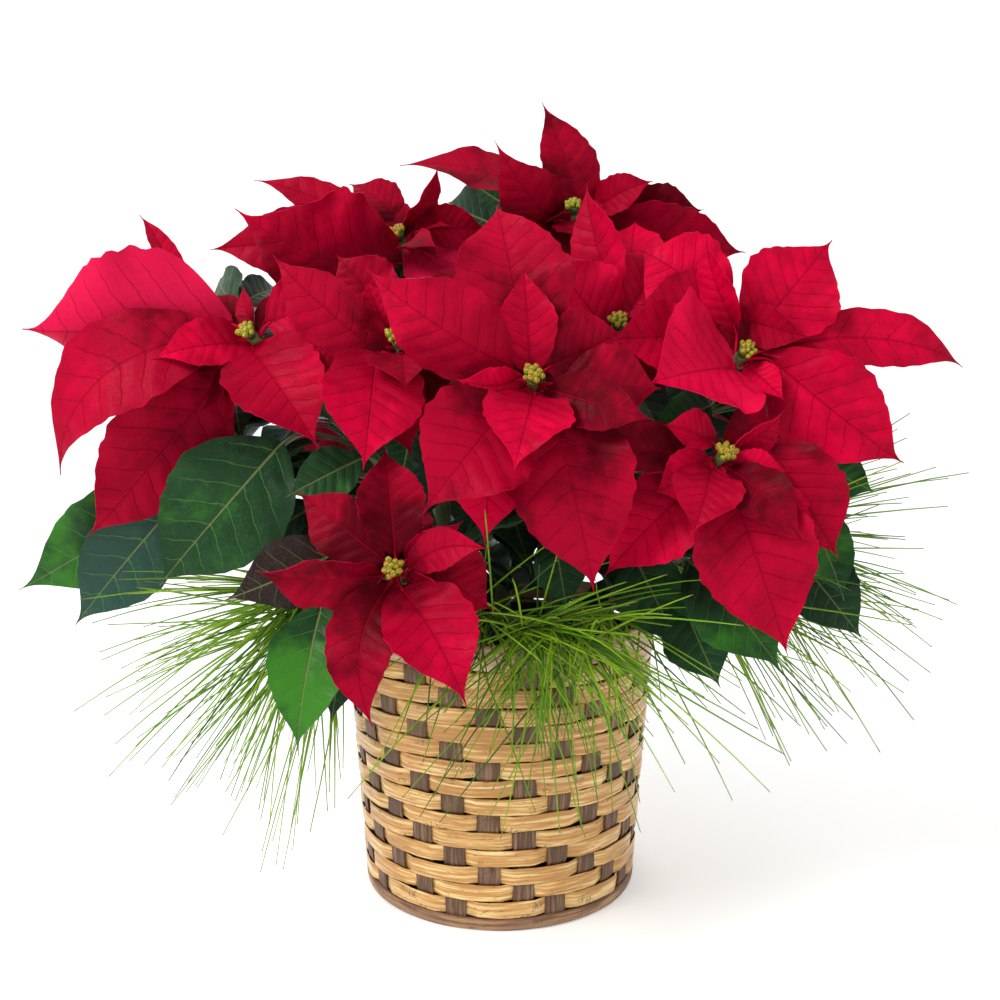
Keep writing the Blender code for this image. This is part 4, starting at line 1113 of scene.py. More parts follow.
@dataclass(frozen=True)
class Wire:
    """A number that flows through a node tree. Arithmetic on it adds Math nodes."""

    tree: bpy.types.NodeTree
    socket: bpy.types.NodeSocket

    def math(self, operation: str, *others: "Wire | float") -> "Wire":
        """Adds one Math node.

        Args:
            operation: The node's operation.
            others: Its second and third values.

        Returns:
            The result.
        """
        node = self.tree.nodes.new("ShaderNodeMath")
        node.operation = operation
        for place, value in enumerate((self, *others)):
            plug(value, node.inputs[place])
        return Wire(self.tree, node.outputs[0])

    def __add__(self, other: "Wire | float") -> "Wire":
        """The sum."""
        return self.math("ADD", other)

    def __sub__(self, other: "Wire | float") -> "Wire":
        """The difference."""
        return self.math("SUBTRACT", other)

    def __mul__(self, other: "Wire | float") -> "Wire":
        """The product."""
        return self.math("MULTIPLY", other)

    def __truediv__(self, other: "Wire | float") -> "Wire":
        """The quotient."""
        return self.math("DIVIDE", other)

    def away_from(self, value: float) -> "Wire":
        """How far it is from a value, without its sign."""
        return (self - value).math("ABSOLUTE")

    def ramp(self, start: "Wire | float", end: "Wire | float", low: float = 0.0, high: float = 1.0) -> "Wire":
        """A smooth step.

        Args:
            start: The value where the step starts.
            end: The value where it ends.
            low: What it gives before the start.
            high: What it gives after the end.

        Returns:
            The stepped value.
        """
        node = self.tree.nodes.new("ShaderNodeMapRange")
        node.interpolation_type = "SMOOTHSTEP"
        for place, value in enumerate((self, start, end, low, high)):
            plug(value, node.inputs[place])
        return Wire(self.tree, node.outputs[0])


Value = Wire | float | int | bool | str | tuple | bpy.types.NodeSocket | bpy.types.ID


def plug(value: Value, socket: bpy.types.NodeSocket) -> None:
    """Links a wire or a socket to a socket, or sets the socket's own value."""
    if isinstance(value, Wire):
        value.tree.links.new(value.socket, socket)
    elif isinstance(value, bpy.types.NodeSocket):
        socket.id_data.links.new(value, socket)
    else:
        socket.default_value = value


class TreeMaker:
    """Adds nodes to a shader or geometry tree, by kind and by socket name."""

    def __init__(self, tree: bpy.types.NodeTree) -> None:
        """Takes the tree that it adds to."""
        self.tree = tree

    def add(self, kind: str, inputs: dict[str | int, Value] | None = None,
            **settings: object) -> bpy.types.Node:
        """Adds a node.

        Args:
            kind: The node's type.
            inputs: What each input takes, by name or place.
            settings: The node's own properties.

        Returns:
            The node.
        """
        node = self.tree.nodes.new(kind)
        for name, value in settings.items():
            setattr(node, name, value)
        for name, value in (inputs or {}).items():
            plug(value, node.inputs[name])
        return node

    def wire(self, kind: str, inputs: dict[str | int, Value] | None = None, output: str | int = 0,
             **settings: object) -> Wire:
        """Adds a node and gives one of its outputs.

        Args:
            kind: The node's type.
            inputs: What each input takes.
            output: The output, by name or place.
            settings: The node's own properties.

        Returns:
            The output.
        """
        return Wire(self.tree, self.add(kind, inputs, **settings).outputs[output])


class GroupMaker(TreeMaker):
    """A node group with named sockets."""

    def __init__(self, name: str, kind: str, inputs: dict[str, tuple[str, object]],
                 outputs: dict[str, str]) -> None:
        """Makes the group.

        Args:
            name: The group's name.
            kind: ShaderNodeTree or GeometryNodeTree.
            inputs: Each input's kind of socket and its usual value, by name.
            outputs: Each output's kind of socket, by name.
        """
        super().__init__(bpy.data.node_groups.new(name, kind))
        for label, (socket, usual) in inputs.items():
            made = self.tree.interface.new_socket(label, in_out="INPUT", socket_type=socket)
            if usual is not None:
                made.default_value = usual
        for label, socket in outputs.items():
            self.tree.interface.new_socket(label, in_out="OUTPUT", socket_type=socket)
        self.entry = self.tree.nodes.new("NodeGroupInput")
        self.exit = self.tree.nodes.new("NodeGroupOutput")

    def given(self, label: str) -> Wire:
        """One of the group's inputs."""
        return Wire(self.tree, self.entry.outputs[label])

    def give(self, label: str, value: Value) -> None:
        """Sets one of the group's outputs."""
        plug(value, self.exit.inputs[label])

    def store(self, geometry: Value, name: str, value: Value, kind: str = "FLOAT",
              domain: str = "POINT") -> bpy.types.NodeSocket:
        """Stores a value on a geometry under a name.

        Args:
            geometry: The geometry.
            name: The value's name.
            value: The value.
            kind: FLOAT or FLOAT_VECTOR.
            domain: What it is stored on.

        Returns:
            The geometry that holds it.
        """
        inputs = {"Geometry": geometry, "Name": name, "Value": value}
        return self.add("GeometryNodeStoreNamedAttribute", inputs, data_type=kind, domain=domain).outputs[0]

    def drawn(self, low: float, high: float, **more: Value) -> Wire:
        """A number for each element, drawn at random by the group's seed."""
        inputs = {2: low, 3: high, "Seed": self.given("Seed"), **more}
        return Wire(self.tree, self.add("FunctionNodeRandomValue", inputs, data_type="FLOAT").outputs[1])

    def finish(self, *parts: Value) -> None:
        """Joins these parts, gives them the group's finish, and makes them its geometry."""
        joined = self.add("GeometryNodeJoinGeometry")
        for part in parts:
            plug(part, joined.inputs[0])
        whole = self.add("GeometryNodeRealizeInstances", {0: joined.outputs[0]})
        inputs = {"Geometry": whole.outputs[0], "Material": self.given("Finish")}
        self.give("Geometry", self.add("GeometryNodeSetMaterial", inputs).outputs[0])


def object_of(name: str, mesh: bpy.types.Mesh) -> bpy.types.Object:
    """A new object of this mesh, in the scene."""
    made = bpy.data.objects.new(name, mesh)
    bpy.context.scene.collection.objects.link(made)
    return made


class Batch:
    """Closed shapes gathered into one mesh, with values at their points."""

    def __init__(self, name: str) -> None:
        """Starts an empty mesh of this name."""
        self.name = name
        self.points: list[np.ndarray] = []
        self.faces: list[Face] = []
        self.slots: list[int] = []
        self.leaf: list[np.ndarray] = []
        self.tone_and_light: list[np.ndarray] = []
        self.count = 0

    def add(self, points: np.ndarray, faces: Sequence[Face], slot: int, leaf: np.ndarray,
            tone_and_light: np.ndarray) -> None:
        """Adds a shape.

        Args:
            points: Its points, one to a row.
            faces: Its faces.
            slot: The material slot of its faces.
            leaf: At each point, the place across in mm, the vein phase and the place along.
            tone_and_light: At each point, its tone, which paints light and shade, its share of the
                underside's colour as a painted highlight, whether it is under, and its edge.
        """
        start = self.count
        self.points.append(points)
        self.faces.extend(tuple(index + start for index in face) for face in faces)
        self.slots.extend([slot] * len(faces))
        self.leaf.append(leaf)
        self.tone_and_light.append(tone_and_light)
        self.count += len(points)

    def add_bar(self, path: Sequence[Vector], radii: Sequence[float], sides: int, slot: int,
                tone_and_light: float) -> None:
        """Adds a round bar.

        Args:
            path: The points of its middle line.
            radii: Its radius at each point.
            sides: How many sides it has.
            slot: The material slot of its faces.
            tone_and_light: Its tone.
        """
        points, faces = loft(path, radii, sides)
        places = np.array([tuple(point) for point in points])
        share = np.repeat(np.linspace(0.0, 1.0, len(path)), sides)
        leaf = np.column_stack([np.full(len(points), 9.0), np.zeros(len(points)), share])
        values = np.column_stack([np.full(len(points), tone_and_light), share * 0, share * 0, share])
        self.add(places, faces, slot, leaf, values)

    def build(self, materials: Sequence[bpy.types.Material]) -> bpy.types.Object:
        """Makes the object.

        Args:
            materials: Its materials, in the order of their slots.

        Returns:
            The object, at the origin.
        """
        mesh = bpy.data.meshes.new(self.name)
        mesh.from_pydata(np.concatenate(self.points).tolist(), [], self.faces)
        for material in materials:
            mesh.materials.append(material)
        mesh.polygons.foreach_set("material_index", self.slots)
        leaf = mesh.attributes.new("leaf", "FLOAT_VECTOR", "POINT")
        leaf.data.foreach_set("vector", np.concatenate(self.leaf).astype(np.float32).ravel())
        tone_and_light = mesh.attributes.new("tone_and_light", "FLOAT_COLOR", "POINT")
        tone_and_light.data.foreach_set("color", np.concatenate(self.tone_and_light).astype(np.float32).ravel())
        mesh.shade_smooth()
        mesh.set_sharp_from_angle(angle=math.radians(60))
        return object_of(self.name, mesh)


def mount(piece: bpy.types.Object, nodes: Sequence[str], slot: str) -> None:
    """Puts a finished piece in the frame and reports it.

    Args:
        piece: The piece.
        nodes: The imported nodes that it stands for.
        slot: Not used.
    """
    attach(piece, BODY)
    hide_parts(*nodes)
    LOG.info("%s: %d faces, for %s", piece.name, len(piece.data.polygons), ", ".join(nodes))


def settled(name: str, tree: bpy.types.NodeTree, start: bpy.types.Mesh,
            values: dict[str, Value]) -> bpy.types.Mesh:
    """Runs a geometry tree once and keeps what it makes as a plain mesh.

    Args:
        name: The mesh's name.
        tree: The geometry tree.
        start: The mesh that it starts from.
        values: What each of its named inputs takes.

    Returns:
        The mesh.
    """
    carrier = object_of(name, start)
    modifier = carrier.modifiers.new("Make", "NODES")
    modifier.node_group = tree
    for item in tree.interface.items_tree:
        if item.item_type == "SOCKET" and item.in_out == "INPUT" and item.name in values:
            modifier[item.identifier] = values[item.name]
    graph = bpy.context.evaluated_depsgraph_get()
    made = bpy.data.meshes.new_from_object(carrier.evaluated_get(graph), depsgraph=graph)
    carrier.modifiers.remove(modifier)
    bpy.data.objects.remove(carrier)
    made.name = name
    return made


Colour = tuple[float, float, float]


class Finish(Enum):
    """The named finishes of the object's surfaces."""

    BRACT = "red bract"
    LEAF = "green leaf"
    STEM = "green stem"
    TWIG = "pine twig"
    NEEDLE = "pine needle"
    FLOWER = "yellow-green flower"
    WEAVER = "tan cane"
    RIM = "pale rim cane"
    BINDING = "brown binding"
    STAKE = "dark brown cane"
    POT = "black pot plastic"
    SOIL = "potting soil"
    FLOOR = "pale studio floor"


@dataclass(frozen=True)
class BladeFinish:
    """A bract's or leaf's surface: its colours, veins and gloss."""

    # shade, middle and light are the blade's colours in painted shade, half light and painted light, picked
    # by its tone
    shade: Colour
    middle: Colour
    light: Colour
    # under is the back's colour, and also a painted highlight on the faces of some blades
    under: Colour
    # dusk is the colour below a tone of 0: painted deep shade on bracts, a dark purple-brown on leaves
    dusk: Colour
    vein: Colour
    rib: Colour
    vein_share: float
    rib_share: float
    roughness: float
    shine: float
    relief: float


@dataclass(frozen=True)
class CaneFinish:
    """Split cane: its colours along the fibres and its gloss."""

    dark: Colour
    middle: Colour
    light: Colour
    roughness: float
    coat: float
    nicks: float


@dataclass(frozen=True)
class PlainFinish:
    """A surface of mottled colour."""

    dark: Colour
    light: Colour
    roughness: float
    grain: float
    relief: float


FINISHES = {
    Finish.BRACT: BladeFinish(
        shade=(0.095, 0.0, 0.005), middle=(0.36, 0.0, 0.020), light=(0.66, 0.0, 0.038),
        under=(0.60, 0.008, 0.060), dusk=(0.10, 0.0, 0.006), vein=(0.17, 0.0, 0.008),
        rib=(0.26, 0.0, 0.014), vein_share=0.36, rib_share=0.50, roughness=0.46, shine=0.05, relief=0.65),
    Finish.LEAF: BladeFinish(
        shade=(0.004, 0.015, 0.008), middle=(0.008, 0.042, 0.012), light=(0.034, 0.180, 0.010),
        under=(0.022, 0.062, 0.050), dusk=(0.022, 0.006, 0.009), vein=(0.085, 0.210, 0.050),
        rib=(0.160, 0.190, 0.060), vein_share=0.50, rib_share=0.75, roughness=0.38, shine=0.15,
        relief=0.65),
    Finish.WEAVER: CaneFinish(
        dark=(0.46, 0.200, 0.040), middle=(0.80, 0.480, 0.130), light=(0.96, 0.730, 0.330),
        roughness=0.36, coat=0.25, nicks=1.0),
    Finish.RIM: CaneFinish(
        dark=(0.38, 0.200, 0.110), middle=(0.62, 0.370, 0.210), light=(0.78, 0.540, 0.350),
        roughness=0.42, coat=0.2, nicks=0.4),
    Finish.BINDING: CaneFinish(
        dark=(0.14, 0.060, 0.026), middle=(0.34, 0.170, 0.075), light=(0.52, 0.300, 0.140), roughness=0.5,
        coat=0.1, nicks=0.5),
    Finish.STAKE: CaneFinish(
        dark=(0.085, 0.038, 0.017), middle=(0.185, 0.092, 0.042), light=(0.300, 0.170, 0.090),
        roughness=0.55, coat=0.0, nicks=0.5),
    Finish.POT: PlainFinish(
        dark=(0.010, 0.010, 0.011), light=(0.026, 0.026, 0.028), roughness=0.42, grain=300.0, relief=0.1),
    Finish.SOIL: PlainFinish(
        dark=(0.008, 0.005, 0.003), light=(0.060, 0.036, 0.020), roughness=0.95, grain=260.0, relief=0.8),
    Finish.STEM: PlainFinish(
        dark=(0.040, 0.090, 0.022), light=(0.160, 0.200, 0.060), roughness=0.45, grain=120.0, relief=0.2),
    Finish.TWIG: PlainFinish(
        dark=(0.050, 0.030, 0.014), light=(0.200, 0.140, 0.060), roughness=0.8, grain=400.0, relief=0.8),
}


class Palette:
    """Every material, made once from its finish."""

    def __init__(self) -> None:
        """Makes the shared groups, then the materials."""
        self.veins = self.vein_group()
        self.fibres = self.fibre_group()
        self.mottle = self.mottle_group()
        makers = {BladeFinish: self.blade, CaneFinish: self.cane, PlainFinish: self.plain}
        for finish, look in FINISHES.items():
            makers[type(look)](finish, look)
        self.needle()
        self.flower()
        self.floor()

    def __getitem__(self, finish: Finish) -> bpy.types.Material:
        """The material of this finish."""
        return bpy.data.materials[finish.value]

    def start(self, finish: Finish, **values: Value) -> tuple[TreeMaker, bpy.types.Node]:
        """Starts a material.

        Args:
            finish: Its finish, which names it.
            values: The shader's own values, by socket name with underscores for spaces.

        Returns:
            A maker of its nodes, and its shader.
        """
        material = bpy.data.materials.new(finish.value)
        material.use_nodes = True
        shader = material.node_tree.nodes["Principled BSDF"]
        for name, value in values.items():
            shader.inputs[name.replace("_", " ")].default_value = value
        return TreeMaker(material.node_tree), shader

    def attribute(self, maker: TreeMaker, name: str) -> tuple[Wire, Wire, Wire]:
        """The three parts of a vector that the mesh holds at its points."""
        node = maker.add("ShaderNodeAttribute", attribute_name=name)
        parts = maker.add("ShaderNodeSeparateXYZ", {0: node.outputs["Vector"]})
        return tuple(Wire(maker.tree, output) for output in parts.outputs)

    def mixed(self, maker: TreeMaker, share: Value, first: Value, second: Value, way: str = "MIX") -> Wire:
        """Mixes two colours.

        Args:
            maker: The maker of the nodes.
            share: How much of the second there is.
            first: The first colour.
            second: The second colour.
            way: How they mix.

        Returns:
            The mixed colour.
        """
        node = maker.add("ShaderNodeMix", data_type="RGBA", blend_type=way)
        for socket, value in zip((node.inputs[0], node.inputs[6], node.inputs[7]), (share, first, second)):
            plug((*value, 1.0) if isinstance(value, tuple) else value, socket)
        return Wire(maker.tree, node.outputs[2])

    def noise(self, maker: TreeMaker, place: Value, scale: Value, detail: float = 3.0) -> Wire:
        """A noise of this scale at a place, from about 0.2 to 0.8."""
        return maker.wire("ShaderNodeTexNoise", {"Vector": place, "Scale": scale, "Detail": detail}, "Fac")

    def bumped(self, maker: TreeMaker, shader: bpy.types.Node, height: Wire, depth: float,
               strength: float) -> None:
        """Gives a shader relief.

        Args:
            maker: The maker of the nodes.
            shader: The shader.
            height: The height, from 0 to 1.
            depth: What a height of 1 stands for, in metres.
            strength: How strongly it shows.
        """
        bump = maker.add("ShaderNodeBump", {"Height": height, "Distance": depth, "Strength": strength})
        plug(bump.outputs[0], shader.inputs["Normal"])

    def vein_group(self) -> bpy.types.NodeTree:
        """The veins of a blade, from its place across in mm, its vein phase and its place along."""
        floats = ("Side", "Phase", "Along", "Edge", "Rib Width", "Vein Width")
        maker = GroupMaker("Leaf veins", "ShaderNodeTree",
                           {name: ("NodeSocketFloat", 0.0) for name in floats},
                           {name: "NodeSocketFloat" for name in ("Rib", "Vein", "Net", "Height")})
        side, phase, along = (maker.given(name) for name in ("Side", "Phase", "Along"))
        wide = maker.given("Rib Width") * (along * -0.75 + 1.0)
        rib = side.math("ABSOLUTE").ramp(wide * 0.35, wide, 1.0, 0.0)
        place = maker.add("ShaderNodeCombineXYZ", {0: side * 0.16, 1: phase * 1.5}).outputs[0]
        wobble = self.noise(maker, place, 0.8, 2.0)
        bent = phase + (wobble - 0.5) * 0.34
        off = bent.math("FRACT").away_from(0.5)
        thin = maker.given("Vein Width") * (maker.given("Edge") * -0.55 + 1.0)
        fade = maker.given("Edge").ramp(0.72, 0.98, 1.0, 0.0)
        vein = off.ramp(thin * 0.25, thin, 1.0, 0.0) * fade
        cells = self.noise(maker, place, 5.2, 1.0)
        net = cells.away_from(0.5).ramp(0.0, 0.05, 1.0, 0.0)
        maker.give("Rib", rib)
        maker.give("Vein", vein)
        maker.give("Net", net)
        maker.give("Height", rib * -0.9 + vein * -0.7 + net * -0.22 + off * 0.5 + wobble * 0.25 + 1.0)
        return maker.tree

    def fibre_group(self) -> bpy.types.NodeTree:
        """The fibres of split cane: long streaks, fine lines, broad patches, and dark nicks at its joints."""
        maker = GroupMaker("Cane fibres", "ShaderNodeTree", {"Place": ("NodeSocketVector", None)},
                           dict.fromkeys(("Streak", "Line", "Patch", "Nick", "Height"), "NodeSocketFloat"))
        place = maker.given("Place")
        streak, line, spots, patch, joint, crack = (
            self.noise(maker, maker.add("ShaderNodeVectorMath", {0: place, 1: scale},
                                        operation="MULTIPLY").outputs[0], 1.0)
            for scale in ((0.030, 0.50, 1.0), (0.10, 3.6, 1.0), (0.16, 0.9, 1.0), (0.011, 0.04, 1.7),
                          (0.040, 0.10, 1.3), (1.3, 0.30, 1.0)))
        nick = (joint.ramp(0.60, 0.66) * crack.ramp(0.50, 0.58)).math("MAXIMUM", spots.ramp(0.63, 0.70))
        maker.give("Streak", streak.ramp(0.30, 0.70))
        maker.give("Line", line.ramp(0.35, 0.65))
        maker.give("Patch", patch.ramp(0.38, 0.62))
        maker.give("Nick", nick)
        maker.give("Height", line * 0.6 + streak * 0.5 + nick * -0.5)
        return maker.tree

    def mottle_group(self) -> bpy.types.NodeTree:
        """Two scales of soft blotches at a place."""
        maker = GroupMaker("Mottle", "ShaderNodeTree",
                           {"Place": ("NodeSocketVector", None), "Scale": ("NodeSocketFloat", 100.0)},
                           {"Broad": "NodeSocketFloat", "Fine": "NodeSocketFloat"})
        place, scale = maker.given("Place"), maker.given("Scale")
        maker.give("Broad", self.noise(maker, place, scale * 0.2).ramp(0.3, 0.7))
        maker.give("Fine", self.noise(maker, place, scale, 4.0).ramp(0.3, 0.7))
        return maker.tree

    def grouped(self, maker: TreeMaker, tree: bpy.types.NodeTree,
                inputs: dict[str | int, Value]) -> dict[str, Wire]:
        """Places a shared group.

        Args:
            maker: The maker of the nodes.
            tree: The group.
            inputs: What each of its inputs takes.

        Returns:
            Its outputs by name.
        """
        node = maker.add("ShaderNodeGroup", None, node_tree=tree)
        for name, value in inputs.items():
            plug(value, node.inputs[name])
        return {output.name: Wire(maker.tree, output) for output in node.outputs}

    def mottled(self, maker: TreeMaker, scale: float) -> dict[str, Wire]:
        """The soft blotches of this scale at a point's own place."""
        place = maker.add("ShaderNodeTexCoord").outputs["Object"]
        return self.grouped(maker, self.mottle, {"Place": place, "Scale": scale})

    def blade(self, finish: Finish, look: BladeFinish) -> None:
        """Makes a bract's or leaf's material.

        Args:
            finish: Its finish, which names it.
            look: Its colours, veins and gloss.
        """
        maker, shader = self.start(finish, Roughness=look.roughness, Specular_IOR_Level=look.shine)
        side, phase, along = self.attribute(maker, "leaf")
        tone_and_light, highlight_share, under = self.attribute(maker, "tone_and_light")
        edge = maker.wire("ShaderNodeAttribute", None, "Alpha", attribute_name="tone_and_light")
        veins = self.grouped(maker, self.veins, {"Side": side, "Phase": phase, "Along": along, "Edge": edge,
                                                 "Rib Width": 1.3, "Vein Width": 0.060})
        place = maker.add("ShaderNodeTexCoord").outputs["Object"]
        blotch = self.grouped(maker, self.mottle, {"Place": place, "Scale": 150.0})
        # The blade's tone, which paints light and shade, and random blotches set how far each point goes from
        # the shade colour to the light colour
        depth = tone_and_light + (blotch["Broad"] - 0.5) * 0.34 + (blotch["Fine"] - 0.5) * 0.12
        # Painted shade, darker towards each blade's base, where the blades crowd together
        depth = depth + along.ramp(0.0, 0.6, -0.22, 0.06)
        # Painted shade, half light and painted light, mixed by the depth
        body = self.mixed(maker, depth.ramp(0.0, 0.5), look.shade, look.middle)
        body = self.mixed(maker, depth.ramp(0.5, 1.0), body, look.light)
        # The underside's colour on the backs, and as a painted highlight on faces with a highlight share
        body = self.mixed(maker, under.math("MAXIMUM", highlight_share), body, look.under)
        # Below a tone of 0, the dusk colour: painted deep shade on bracts, a dark purple-brown on leaves
        body = self.mixed(maker, tone_and_light.ramp(0.0, -0.4), body, look.dusk)
        body = self.mixed(maker, veins["Net"] * 0.16, body, look.vein)
        body = self.mixed(maker, veins["Vein"] * look.vein_share, body, look.vein)
        body = self.mixed(maker, veins["Rib"] * look.rib_share, body, look.rib)
        speck = maker.wire("ShaderNodeTexVoronoi", {"Vector": place, "Scale": 90.0, "Randomness": 1.0},
                           "Distance")
        body = self.mixed(maker, speck.ramp(0.030, 0.045, 0.55, 0.0), body, look.light)
        plug(body, shader.inputs["Base Color"])
        plug(veins["Vein"] * 0.06 + blotch["Fine"] * 0.10 + (look.roughness - 0.05),
             shader.inputs["Roughness"])
        self.bumped(maker, shader, veins["Height"], 0.0009, look.relief)

    def cane(self, finish: Finish, look: CaneFinish) -> None:
        """Makes a split cane's material.

        Args:
            finish: Its finish, which names it.
            look: Its colours and gloss.
        """
        maker, shader = self.start(finish, Roughness=look.roughness, Coat_Weight=look.coat,
                                   Coat_Roughness=0.25)
        place = maker.add("ShaderNodeAttribute", attribute_name="fibre").outputs["Vector"]
        cane = self.grouped(maker, self.fibres, {"Place": place})
        body = self.mixed(maker, cane["Streak"], look.dark, look.middle)
        body = self.mixed(maker, cane["Streak"].ramp(0.45, 1.0), body, look.light)
        body = self.mixed(maker, cane["Patch"] * 0.50, body, look.dark)
        body = self.mixed(maker, cane["Line"] * 0.38, body, look.dark)
        body = self.mixed(maker, cane["Nick"] * look.nicks * 0.75, body,
                          tuple(part * 0.35 for part in look.dark))
        plug(body, shader.inputs["Base Color"])
        plug(cane["Line"] * 0.18 + (look.roughness - 0.06), shader.inputs["Roughness"])
        self.bumped(maker, shader, cane["Height"], 0.0005, 0.6)

    def plain(self, finish: Finish, look: PlainFinish) -> None:
        """Makes a mottled material.

        Args:
            finish: Its finish, which names it.
            look: Its colours and gloss.
        """
        maker, shader = self.start(finish, Roughness=look.roughness)
        blotch = self.mottled(maker, look.grain)
        share = blotch["Broad"] * 0.5 + blotch["Fine"] * 0.5
        plug(self.mixed(maker, share, look.dark, look.light), shader.inputs["Base Color"])
        plug(blotch["Fine"] * 0.1 + (look.roughness - 0.05), shader.inputs["Roughness"])
        self.bumped(maker, shader, blotch["Fine"] + blotch["Broad"], 0.0008, look.relief)

    def needle(self) -> None:
        """Makes the pine needles' material: darker at the root, yellow-green and glossy towards the tip."""
        maker, shader = self.start(Finish.NEEDLE, Roughness=0.38, Specular_IOR_Level=0.2)
        along, each, _ = self.attribute(maker, "needle")
        body = self.mixed(maker, along.ramp(0.0, 0.55), (0.030, 0.085, 0.010), (0.120, 0.290, 0.010))
        body = self.mixed(maker, each.ramp(0.2, 0.9), body, (0.250, 0.420, 0.018))
        body = self.mixed(maker, each.ramp(0.25, 0.0), body, (0.022, 0.070, 0.020))
        body = self.mixed(maker, along.ramp(0.95, 1.0), body, (0.180, 0.100, 0.040))
        blotch = self.mottled(maker, 220.0)
        plug(self.mixed(maker, blotch["Fine"] * 0.2, body, (0.090, 0.180, 0.020)),
             shader.inputs["Base Color"])
        plug(blotch["Fine"] * 0.16 + 0.30, shader.inputs["Roughness"])

    def flower(self) -> None:
        """Makes the small flowers' material: yellow-green, with red tops."""
        maker, shader = self.start(Finish.FLOWER, Roughness=0.35)
        height, each, _ = self.attribute(maker, "bud")
        body = self.mixed(maker, height.ramp(0.0, 0.7), (0.016, 0.060, 0.006), (0.330, 0.430, 0.012))
        body = self.mixed(maker, height.ramp(0.76, 0.90) * each.ramp(0.45, 0.60), body, (0.400, 0.004, 0.010))
        blotch = self.mottled(maker, 900.0)
        plug(self.mixed(maker, blotch["Fine"] * 0.35, body, (0.160, 0.220, 0.014)),
             shader.inputs["Base Color"])
        self.bumped(maker, shader, blotch["Fine"], 0.0003, 0.5)

    def floor(self) -> None:
        """Makes the studio floor's material."""
        maker, shader = self.start(Finish.FLOOR, Roughness=0.75, Emission_Color=(1.0, 1.0, 1.0, 1.0),
                                   Emission_Strength=0.30)
        place = maker.add("ShaderNodeTexCoord").outputs["Object"]
        plug(self.mixed(maker, self.noise(maker, place, 3.0) * 0.02, (0.92, 0.92, 0.92), (0.88, 0.88, 0.88)),
             shader.inputs["Base Color"])


@dataclass(frozen=True)
class BladeForm:
    """How a kind of blade waves, quilts and curls, in metres and shares of its width."""

    wave: float
    quilt: float
    scallop: float
    twist: float
    curl: float
    veins: float


class BladeKind(Enum):
    """The two kinds of blade, with their forms."""

    BRACT = BladeForm(wave=0.050, quilt=0.0085, scallop=0.030, twist=0.20, curl=0.05, veins=8.5)
    LEAF = BladeForm(wave=0.040, quilt=0.0100, scallop=0.020, twist=0.12, curl=0.04, veins=8.0)


